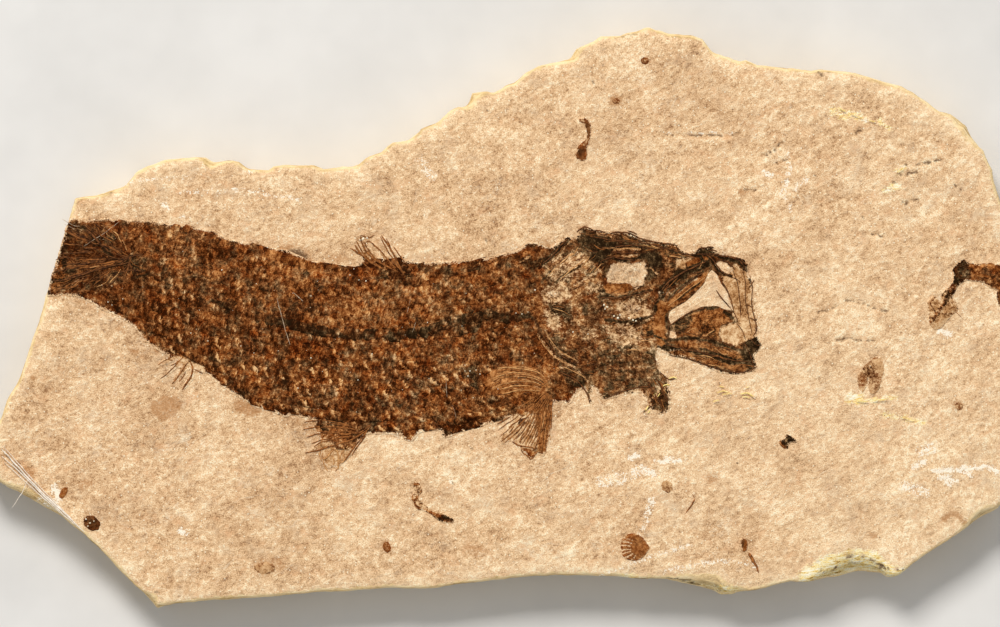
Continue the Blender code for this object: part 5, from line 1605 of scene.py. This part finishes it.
@dataclass
class Scales:
    """The fish's scales: small domed plates in slanting rows that follow the trunk."""

    fish: FossilFish
    material: Material
    pitch: float = 1.10
    row: float = 1.02
    shear: float = 0.45       # how far each row is shifted along, in pitches
    length: float = 1.25
    width: float = 1.12
    dome: float = 0.035
    thickness: float = 0.09
    tilt: float = -2.6        # in degrees, free edge up
    first: float = 11.8       # where along the sheet the scales start and end
    last: float = 53.6
    rows: int = 11            # on each side of the axis
    smoothing: int = 40       # steps of the axis to each side, over which its direction is averaged
    seed: int = 12

    def lattice(self) -> tuple[Array, Array, Array]:
        """Where each scale stands.

        Returns:
            Its place, the angle that its free edge faces, and its row.
        """
        axis = divided(rounded(SHEET.place(AXIS), 3), 0.05, closed=False)
        along = np.concatenate([[0], np.cumsum(np.linalg.norm(np.diff(axis, axis=0), axis=1))])
        slope = np.gradient(axis, axis=0)
        kernel = np.full(2 * self.smoothing + 1, 1 / (2 * self.smoothing + 1))
        slope = np.column_stack([np.convolve(np.pad(column, self.smoothing, mode="edge"), kernel, "valid")
                                 for column in slope.T])
        slope /= np.linalg.norm(slope, axis=1, keepdims=True)
        places, turns, rows = [], [], []
        for row in range(-self.rows, self.rows):
            stations = np.arange(0, along[-1], self.pitch) + (row * self.shear % 1) * self.pitch
            x, y, u, v = (np.interp(stations, along, column) for column in (*axis.T, *slope.T))
            places.append(np.column_stack([x - v * row * self.row, y + u * row * self.row]))
            turns.append(np.arctan2(-v, -u))
            rows.append(np.full(len(stations), row))
        return np.vstack(places), np.concatenate(turns), np.concatenate(rows)

    def points(self) -> Piece:
        """The scales' places, with what each of them shows."""
        place, turn, row = self.lattice()
        draw = np.random.default_rng(self.seed)
        place = place + draw.normal(0, 0.08, place.shape)
        x = place[:, 0] + SHEET.middle_x
        rim = self.fish.rims[0]
        keep = (x > self.first) & (x < self.last) & (depth_in(place, rim) > 0.45)
        place, turn, row, x = place[keep], turn[keep], row[keep], x[keep]
        shown = paint(place, self.fish.marks)
        lot = draw.uniform(0, 1, (len(place), 4))
        fade = eased((x - self.first) / 5) * eased((self.last - x) / 5)
        lower = eased((-row + 1.5) / 2)
        patchy = 0.55 + 0.45 * ripple(place, 6.0, 77, 2)
        streak = (0.11 + 0.125 * lower) * (0.05 + 1.7 * lot[:, 0] ** 1.5) * (0.4 + 0.6 * fade) * (0.4 + 1.1 * patchy)
        streak *= 1 - 0.8 * shown[:, INK.value]
        sunk = 0.03 * (1 - fade) + 0.03 * (lot[:, 1] - 0.5)
        made = seedling("fish_scales", np.column_stack([place, self.fish.top(place) - sunk - 0.012]))
        note(made, "streak", streak)
        lift = 0.13 * (lot[:, 2] - 0.5) + 0.08 * ripple(place, 2.6, 78, 2) + self.fish.lift_at(place)
        for name, values in (("lift", lift), ("ink", shown[:, 0]), ("rust", shown[:, 1] + 0.25 * (lot[:, 3] > 0.8)),
                             ("film", shown[:, 2]), ("bare", shown[:, 3]), ("big", 0.9 + 0.22 * lot[:, 1])):
            note(made, name, values)
        tilt = math.radians(self.tilt) * (0.5 + lot[:, 2])
        note(made, "facing", np.column_stack([0.06 * (lot[:, 0] - 0.5), tilt, turn + 0.10 * (lot[:, 3] - 0.5)]))
        return made

    def build(self) -> Piece:
        """Builds the scales.

        Returns:
            The finished piece.
        """
        sizes = {"Length": self.length * MM, "Width": self.width * MM, "Dome": self.dome * MM,
                 "Thickness": self.thickness * MM}
        grower = Grower("fish_scales", sizes, self.material)
        bench = Bench(grower.tree)
        length, width = grower.size("Length"), grower.size("Width")
        sheet = grower.add("MeshGrid", {"Size X": length, "Size Y": width, "Vertices X": 5, "Vertices Y": 5})
        here = grower.add("ShaderNodeSeparateXYZ", {0: grower.add("InputPosition")})
        along, across = (bench.sum("DIVIDE", here.outputs[i], bench.times(size, 0.5))
                         for i, size in enumerate((length, width)))
        plate = grower.add("ShaderNodeCombineXYZ", {0: along, 1: across})
        noted = grower.add("StoreNamedAttribute", {"Geometry": sheet, "Name": "plate", "Value": plate},
                           data_type="FLOAT_VECTOR")
        down = grower.add("ShaderNodeCombineXYZ", {2: bench.times(grower.size("Thickness"), -1.0)})
        base = grower.add("SetPosition", {"Geometry": noted, "Offset": down})
        under = grower.add("FlipFaces", {0: base})
        drawn = grower.add("ExtrudeMesh", {"Mesh": base, "Offset": (0, 0, 1), "Individual": False,
                                           "Offset Scale": grower.size("Thickness")}, mode="FACES")
        both = grower.add("JoinGeometry")
        for part in (drawn, under):
            grower.tree.links.new(part.outputs[0], both.inputs[0])
        whole = grower.add("MergeByDistance", {"Geometry": both, "Distance": 1e-7})
        on_plate = grower.add("ShaderNodeSeparateXYZ", {0: grower.noted("plate", "FLOAT_VECTOR")})
        fall = [bench.times(on_plate.outputs[i], on_plate.outputs[i]) for i in (0, 1)]
        crown = bench.times(*(bench.minus(1.0, bench.times(fall[i], drop)) for i, drop in enumerate((0.85, 0.95))))
        now = grower.add("ShaderNodeSeparateXYZ", {0: grower.add("InputPosition")})
        raised = bench.times(crown, grower.size("Dome"), bench.sum("GREATER_THAN", now.outputs[2], -1e-6))
        tapered = bench.times(fall[1], length, -0.22)
        moved = grower.add("ShaderNodeCombineXYZ", {0: tapered, 2: raised})
        domed = grower.add("SetPosition", {"Geometry": whole, "Offset": moved})
        laid = grower.add("InstanceOnPoints", {
            "Points": grower.size("Geometry"), "Instance": domed,
            "Rotation": grower.noted("facing", "FLOAT_VECTOR"), "Scale": grower.noted("big")})
        grower.end(laid)
        return enrol(grower.grow(self.points()), "fish_bone")


@dataclass(frozen=True)
class Field:
    """A field of short strands: they run at an angle, or away from a point when one is given."""

    counts: tuple[int, int, int]      # how many dark, brown and pale ones
    length: float                     # in mm
    angle: float                      # in degrees, up is positive
    ring: Flat
    away_from: tuple[int, int] | None = None
    stray: float = 9.0                # in degrees
    bow: float = 0.16                 # as a share of half the length

    def rows(self, shade: int, seed: int, half: float) -> list[Row]:
        """The strands' lines.

        Args:
            shade: which of the counts is laid.
            seed: picks them.
            half: their half-thickness in millimetres.

        Returns:
            Rows as the strands take them.
        """
        draw = np.random.default_rng(seed)
        number = self.counts[shade]
        ring = SHEET.corners(self.ring)
        found: list[Row] = []
        for x, y in draw.uniform(ring.min(0), ring.max(0), (6 * number, 2)):
            turn = math.radians(self.angle + draw.normal(0, self.stray))
            if self.away_from:
                turn = math.atan2(self.away_from[1] - y, x - self.away_from[0]) + draw.normal(0, 0.05)
            half_long = 5 * self.length * draw.uniform(0.3, 1.2)
            bend = draw.normal(0, self.bow) * half_long
            side = np.array([math.sin(turn), math.cos(turn)])
            run = np.array([math.cos(turn), -math.sin(turn)])
            bow = np.outer([0, 1, 1, 0], side) * bend
            line = np.array([x, y]) + np.outer([-1, -0.35, 0.35, 1], run) * half_long + bow
            if inside(line, ring).all() and len(found) < number:
                found.append((half * draw.uniform(0.5, 1.4), tuple(line.ravel())))
        return found


FIELDS = (
    Field((16, 16, 8), 1.4, -12, SNOUT), Field((8, 12, 14), 1.2, 44, ROOF), Field((9, 14, 8), 1.2, -4, GILL),
    Field((5, 10, 2), 1.5, 38, MAXILLA), Field((3, 5, 3), 1.0, 20, LOWER_JAW), Field((8, 10, 6), 1.8, -13, MANDIBLE),
    Field((8, 7, 4), 1.2, -60, THROAT), Field((6, 9, 6), 2.0, 0, UPPER_PECTORAL, (552, 388)),
    Field((8, 12, 18), 2.0, 0, LOWER_PECTORAL, (548, 396)), Field((84, 50, 8), 2.3, 0, TAIL, (132, 258)),
    Field((14, 10, 6), 0.9, 35, CHEEK), Field((3, 4, 4), 0.8, -70, PREMAXILLA),
)


# ---------------------------------------------------------------- loose fossils and dust
@dataclass(frozen=True)
class LooseFossil:
    """One small fossil that lies loose in the face, with its table of marks."""

    slot: str
    middle: float             # tone of the plain bone
    edge: float               # height of the rim above the face, in mm
    crown: float              # height of the middle
    marks: str
    outline: Flat = ()        # a finer outline than the solid's, where there is one


LOOSE = {
    "stray_bone": LooseFossil("dark_bone", 0.40, 0.05, 0.24, """
rust patch: 40 25 968 258 36 0 0 32 -36 -2
film patch: 40 50 972 258 12 -2 4 8 -12 3; 40 45 992 258 11 2 0 10 -9 -2; 30 40 944 284 12 2 -6 12 -10 2
ink patch: 30 50 951 262 17 -6 4 12 -4 12 -10 8 -8 -6; 40 35 980 266 10 -2 2 16 -10 2
film 70: 12 970 262 12 -3 10 3 11 -2; 10 970 282 14 2 12 6
rust 90: 22 972 266 8 2 4 -4; 25 990 266 13 2; 12 976 274 14 3
film patch: 60 100 922 300 12 -10 10 6 18 1 2 17 -14 8 -8 12 -20 0
rust 60: 20 950 292 -12 20 -7 10; 10 941 306 9 -3 7 -1; 8 942 314 10 0 6 -6; 10 929 302 5 8 2 6; 12 930 318 0 10
8 936 296 -6 8
ink 35: 26 956 284 -6 10 -5 9; 14 945 303 -7 11 -6 9
bare 90: 7 975 281 2 0
"""),
    "leaf_fragment": LooseFossil("brown_scrap", 0.50, 0.02, 0.09, """
film patch: 90 85 850 352 42 0 0 48 -42 0
rust patch: 50 45 872 376 12 -4 -3 20 -9 4; 50 65 858 376 10 -2 -1 12 -10 2
ink patch: 60 55 862 366 7 -5 8 5 0 11 -7 2 -7 -3
rust 70: 10 862 368 8 -8 6 -3
bare 95: 10 869 378 -1 8 0 8
"""),
    "loose_scale": LooseFossil("brown_scrap", 0.54, 0.02, 0.09, """
rust patch: 60 50 616 536 16 -6 18 8 4 12 -14 14 -18 -2
bare 95: 6 618 541 14 2; 6 618 545 13 1; 7 618 550 13 -1; 6 620 554 11 -3; 6 624 558 9 -5; 6 629 562 7 -6
5 620 537 12 3
"""),
    "bone_splinter": LooseFossil("dark_bone", 0.42, 0.04, 0.16, """
film patch: 30 50 406 478 22 0 -2 30 -18 0
rust 90: 10 414 484 8 0 1 6 -4 6 -5 4; 9 412 492 0 7 4 7; 10 414 503 6 7
film 80: 10 418 504 12 5 12 5
ink 80: 11 420 510 12 6 10 5; 20 443 517 11 3
"""),
    "hooked_bone": LooseFossil("brown_scrap", 0.46, 0.03, 0.11, """
ink 35: 30 586 122 2 12; 30 580 152 5 -6
film 50: 12 588 138 -4 7; 12 580 120 4 1
""",
        "578 119 5 -1 5 1 3 5 0 7 -1 7 -1 5 -2 4 0 4 1 4 -2 5 -5 1 -5 -3 -2 -5 4 -1 -1 -4 3 -5 5 -3 2 -4 -1 -7 \
-2 -5 -4 -2"),
    "dark_chip": LooseFossil("dark_bone", 0.34, 0.05, 0.20, """
ink patch: 30 70 783 436 7 -2 6 7 -6 2 -2 6 -6 -5
rust 90: 14 779 441 1 5 5 3
film 35: 12 785 439 2 7
"""),
    "bone_wedge": LooseFossil("brown_scrap", 0.44, 0.03, 0.12, """
ink 40: 10 742 541 1 10
rust 80: 20 746 541 -2 10
"""),
}


@dataclass(frozen=True)
class SeedCase:
    """One small seed-like body: where it lies, its half-axes, turn in degrees and height."""

    x: float
    y: float
    long: float
    short: float
    turn: float
    height: float
    film: float = 0.3     # how filmy it looks
    ink: float = 0.0      # how dark it looks


SEED_CASES = (
    SeedCase(64.5, 6.1, 0.50, 0.42, 10, 0.18, 0.35, 0.15), SeedCase(61.6, 10.1, 0.50, 0.36, 10, 0.14, 0.4),
    SeedCase(38.7, 54.7, 0.70, 0.50, 75, 0.16, 0.35), SeedCase(6.35, 49.3, 0.80, 0.42, -60, 0.16, 0.1),
    SeedCase(9.2, 52.3, 1.12, 0.86, 35, 0.26, 0.1, 0.8),
    SeedCase(26.5, 56.8, 1.30, 0.72, 5, 0.18, 0.75), SeedCase(95.9, 40.6, 0.52, 0.45, 30, 0.12, 0.5),
    SeedCase(66.7, 48.7, 0.80, 0.66, 50, 0.10, 0.65),
)


@dataclass
class SeedCases:
    """The seed-like bodies: squat, crumpled domes, all from one tree."""

    material: Material
    ground: Callable[[Array], Array]
    cases: tuple[SeedCase, ...] = SEED_CASES
    crumple: float = 0.26     # depth of the crumples, as a share of a case
    rumples: float = 2.6      # crumples along a half-axis
    sunk: float = 0.35        # share of the height that lies in the stone

    def tree(self) -> Grower:
        """Builds the tree, whose inputs size one case."""
        grower = Grower("seed_case", {"Long": MM, "Short": MM, "Height": MM, "Crumple": self.crumple,
                                      "Rumples": self.rumples, "Seed": 1}, self.material)
        bench = Bench(grower.tree)
        ball = grower.add("MeshIcoSphere", {"Radius": 1.0, "Subdivisions": 4})
        drift = grower.add("ShaderNodeCombineXYZ", {2: bench.times(grower.size("Seed"), 7.3)})
        shifted = grower.add("ShaderNodeVectorMath", {0: grower.add("InputPosition"), 1: drift}, operation="ADD")
        lumps = grower.add("ShaderNodeTexNoise", {"Vector": shifted, "Scale": grower.size("Rumples"), "Detail": 2.0})
        deep = bench.times(bench.minus(lumps, 0.72), grower.size("Crumple"), 2.0)
        inward = grower.add("ShaderNodeVectorMath", {0: grower.add("InputNormal"), "Scale": deep}, operation="SCALE")
        crumpled = grower.add("SetPosition", {"Geometry": ball, "Offset": inward})
        long, short, height = (grower.size(name) for name in ("Long", "Short", "Height"))
        axes = grower.add("ShaderNodeCombineXYZ", {0: long, 1: short, 2: height})
        sized = grower.add("Transform", {"Geometry": crumpled, "Scale": axes})
        laid = grower.add("InstanceOnPoints", {
            "Points": grower.size("Geometry"), "Instance": sized,
            "Rotation": grower.noted("facing", "FLOAT_VECTOR")})
        grower.end(laid)
        return grower

    def build(self) -> list[Piece]:
        """Builds every case.

        Returns:
            The finished pieces.
        """
        grower = self.tree()
        found = []
        for i, case in enumerate(self.cases, start=1):
            plan = SHEET.place((case.x * 10, case.y * 10))
            level = float(self.ground(plan)[0]) - self.sunk * case.height
            made = seedling(f"seed_case_{i}_relief", np.array([[*plan[0], level]]))
            note(made, "facing", np.array([[0.0, 0.0, -math.radians(case.turn)]]))
            grower.grow(made, Long=case.long * MM, Short=case.short * MM, Height=case.height * MM, Seed=i)
            place = (plan_of(made)[:, :2] - plan[0]) / case.long
            note(made, "film", case.film * (0.8 + 0.4 * ripple(place, 0.6, i, 2)))
            note(made, "rust", 0.9 * (1 - case.film) * (1 - case.ink) * (0.75 + 0.3 * ripple(place, 0.5, i + 20, 2)))
            note(made, "ink", case.ink * (0.8 + 0.4 * ripple(place, 0.5, i + 40, 2)))
            found.append(enrol(made, "brown_scrap", f"seed_case_{i}"))
        return found


STICKS = "15 749 553 3 5 2 5; 10 753 561 4 6 2 6; 7 686 513 5 -7 4 -7; 3 695 499 -3 -5; 3 954 310 4 4 4 4; \
3 470 371 4 2"
LINT = """
3 277 298 4 17 9 30; 4 293 292 4 4 6 5; 1.8 84 246 24 -15 12 -10; 2.5 62 219 12 7 6 0; 1.6 64 224 8 4 7 2
1.6 411 297 -2 8 -2 8; 1.6 416 322 -2 6 -2 5; 1.6 446 375 0 11 1 12; 1.6 452 405 3 6 1 7
"""
WHITE_LINT = """
9 2 449 28 31 18 18 18 16 18 18; 6 2 456 16 14 38 38 18 16; 4 3 446 31 35 36 36; 4 4 462 56 51
3 30 474 -6 16 -12 18
"""
# Crumbs of yellow crust on the throat and under the jaw.
CRUST = """
7 668 378 5 -1 4 2; 6 662 387 4 -2 4 1; 6 653 396 3 -4; 5 657 397 3 -4; 7 645 412 3 -6; 5 648 414 2 -4
5 719 386 5 1; 5 716 392 8 -1 6 1; 5 722 395 10 -2; 5 712 401 7 -1; 7 740 394 7 -1 7 3; 5 742 397 8 1
4 745 388 4 -1; 5 838 108 8 4; 5 852 113 10 5; 4 868 120 8 2; 5 856 401 12 1; 5 872 400 16 -1; 4 900 417 14 3
5 897 172 6 -4
"""
SPARKLES = """
12 86 519; 11 90 523; 9 94 521; 9 88 526; 9 222 270; 8 318 290; 8 311 296; 8 191 333; 8 208 341; 7 241 346
7 254 353; 9 311 358; 8 298 388; 10 372 354; 9 535 290; 7 102 285; 7 112 286; 7 108 302; 7 112 305; 7 123 299
8 435 260; 10 573 332; 9 588 334; 17 604 305; 15 607 307; 10 605 309; 14 618 318; 12 614 316; 9 620 315; 13 633 320
11 629 318; 11 636 321; 8 640 318; 22 363 239; 12 367 238; 12 360 240; 8 351 263; 9 354 269; 8 350 275; 9 359 280
9 366 281; 7 394 272; 7 496 387; 7 498 389; 10 963 274; 7 870 366; 12 452 481; 9 465 371; 11 470 371; 9 476 370
8 480 374; 8 468 376; 8 516 313; 8 522 314; 8 528 312
"""
FLANK = "70 225 120 7 110 30 100 13 130 -19 30 34 0 90 -60 20 -100 30 -80 -10 -80 -35 -70 -50 -70 -40"


# ---------------------------------------------------------------- studio
@dataclass
class Studio:
    """A plain pale floor, soft light from above and beyond the slab, and a camera straight over it."""

    floor_half: float = 1.5
    frame_width: float = 0.1      # what the camera takes in, at the height of the face
    distance: float = 0.9
    aim: tuple[float, float] = (-0.0001, 0.000475)
    key_power: float = 17.0
    fill: float = 0.47

    def floor(self) -> Piece:
        """Builds the floor."""
        half = self.floor_half
        mesh = bpy.data.meshes.new("studio_floor")
        mesh.from_pydata([(-half, -half, 0), (half, -half, 0), (half, half, 0), (-half, half, 0)], [], [(0, 1, 2, 3)])
        mesh.materials.append(PlainFinish("pale_floor", gloss=(0.8, 0.95), dark=(214, 213, 210), pale=(222, 221, 218),
                                          scale=0.05).make())
        made = bpy.data.objects.new("studio_floor", mesh)
        made.location.z = -0.00002
        bpy.context.scene.collection.objects.link(made)
        return made

    def lamp(self, name: str, place: Rgb, size: float, power: float, colour: Rgb) -> None:
        """Adds a square soft light that looks at the slab."""
        data = bpy.data.lights.new(name, "AREA")
        data.shape, data.size, data.energy = "SQUARE", size, power
        data.color = colour
        made = bpy.data.objects.new(name, data)
        made.location = place
        made.rotation_euler = (-Vector(place)).to_track_quat("-Z", "Y").to_euler()
        bpy.context.scene.collection.objects.link(made)

    def camera(self) -> None:
        """Adds the camera."""
        data = bpy.data.cameras.new("over_the_slab")
        data.sensor_width = 36
        data.lens = data.sensor_width * self.distance / self.frame_width
        made = bpy.data.objects.new("over_the_slab", data)
        made.location = (*self.aim, self.distance + SHEET.face * MM)
        bpy.context.scene.collection.objects.link(made)
        bpy.context.scene.camera = made

    def build(self) -> None:
        """Sets up floor, light, backdrop and camera."""
        self.floor()
        self.lamp("key", (-0.31, 0.87, 1.02), 0.40, self.key_power, (1.0, 0.965, 0.93))
        world = bpy.data.worlds.new("studio_air")
        world.use_nodes = True
        sky = world.node_tree.nodes["Background"]
        sky.inputs["Color"].default_value = (1, 1, 1, 1)
        sky.inputs["Strength"].default_value = self.fill
        bpy.context.scene.world = world
        bpy.context.scene.view_settings.view_transform = "Standard"
        self.camera()


def main() -> None:
    """Builds the slab, its fossils and the dust on them, in order."""
    logging.basicConfig(level=logging.INFO, format="%(name)s: %(message)s")
    beds = [section(name, FossilPlate.plan_level) for name in ["fossil_fish", *LOOSE]]
    stone = StoneSlab(StoneFinish().make(), beds)
    made = [stone.build()]
    fish = FossilFish(
        "fossil_fish", "fish_skin", "fish_bone", BoneFinish("fish_skin").make(), stone.ground,
        daubs(BoneMark, FISH_MARKS), FISH_LIFTS, grid=0.155, edge=0.025, bite=0.24, swell=0.12, fringe_width=0.55,
        rim_rust=0.45, dusty=HEAD)
    made.append(fish.build())
    made.append(Scales(fish, BoneFinish("fish_scales", scaled=True).make()).build())
    dull = {"gloss": (0.6, 0.9), "grain": 0.01, "scale": 2.0}
    dark = PlainFinish("dark_rays", dark=(46, 24, 11), pale=(126, 78, 42)).make()
    pale = PlainFinish("pale_rays", dark=(146, 92, 48), pale=(228, 176, 114)).make()
    white = PlainFinish("white_calcite", (0.2, 0.5), 0.01, dark=(228, 206, 164), pale=(255, 248, 226), scale=4.0).make()
    fibre = PlainFinish("grey_lint", dark=(150, 124, 96), pale=(222, 198, 168), **dull).make()
    hair = PlainFinish("white_lint", dark=(214, 200, 180), pale=(255, 246, 232), **dull).make()
    crust = PlainFinish("yellow_crust", (0.6, 0.9), dark=(232, 196, 104), pale=(255, 240, 168)).make()
    brown = PlainFinish("brown_rays", dark=(80, 41, 15), pale=(176, 112, 58)).make()
    for name, finish, table, rise in (("brown_rays", brown, FIN_RAYS, 0.35), ("dark_rays", dark, DARK_RAYS, 0.35),
                                      ("pale_rays", pale, PALE_RAYS, 0.2)):
        made.append(Strands(name, finish, "fish_bone", rows_of(table), fish.top, rise).build())
    for shade, (name, finish) in enumerate((("dark_streaks", dark), ("brown_streaks", brown), ("pale_streaks", pale))):
        rows = [row for i, one in enumerate(FIELDS) for row in one.rows(shade, 50 * shade + i, 0.045)]
        made.append(Strands(name, finish, "fish_bone", rows, fish.top, spacing=0.25, wander=0.12, sides=4).build())
    for i, (name, one) in enumerate(LOOSE.items()):
        cool, contrast = (0.8, 1.1) if one.slot == "dark_bone" else (0.5, 0.5)
        finish = BoneFinish(f"{name}_bone", middle=one.middle, cool=cool, contrast=contrast).make()
        made.append(FossilPlate(
            name, f"{name}_relief", one.slot, finish, stone.ground, daubs(BoneMark, one.marks), edge=one.edge,
            crown=one.crown, bite=0.16, swell=0.10, fringe=1.2, fringe_width=0.24, seed=40 + 9 * i,
            outline=one.outline).build())
    made += SeedCases(BoneFinish("seed_case", middle=0.46, cool=0.4, contrast=0.5).make(), stone.ground).build()
    made.append(Strands("sticks", brown, "brown_scrap", rows_of(STICKS), stone.ground).build())
    strewn = ((SHEET.place(FLANK), 100, 0.03, 0.08),)
    made.append(Grains("calcite_sparkles", white, "stone", fish.top, rows_of(SPARKLES), strewn).build())
    for name, finish, table in (("lint", fibre, LINT), ("white_lint", hair, WHITE_LINT)):
        made.append(Strands(name, finish, "stone", rows_of(table), fish.top, rise=1.5, wander=0.03).build())
    crumbs = Strands("yellow_crust", crust, "stone", rows_of(CRUST), fish.top, rise=0.1, spacing=0.1, wander=0.08)
    made.append(crumbs.build())
    for piece in made:
        LOG.info("%s: %d corners, %d faces", piece.name, len(piece.data.vertices), len(piece.data.polygons))
    Studio().build()


if __name__ == "__main__":
    main()
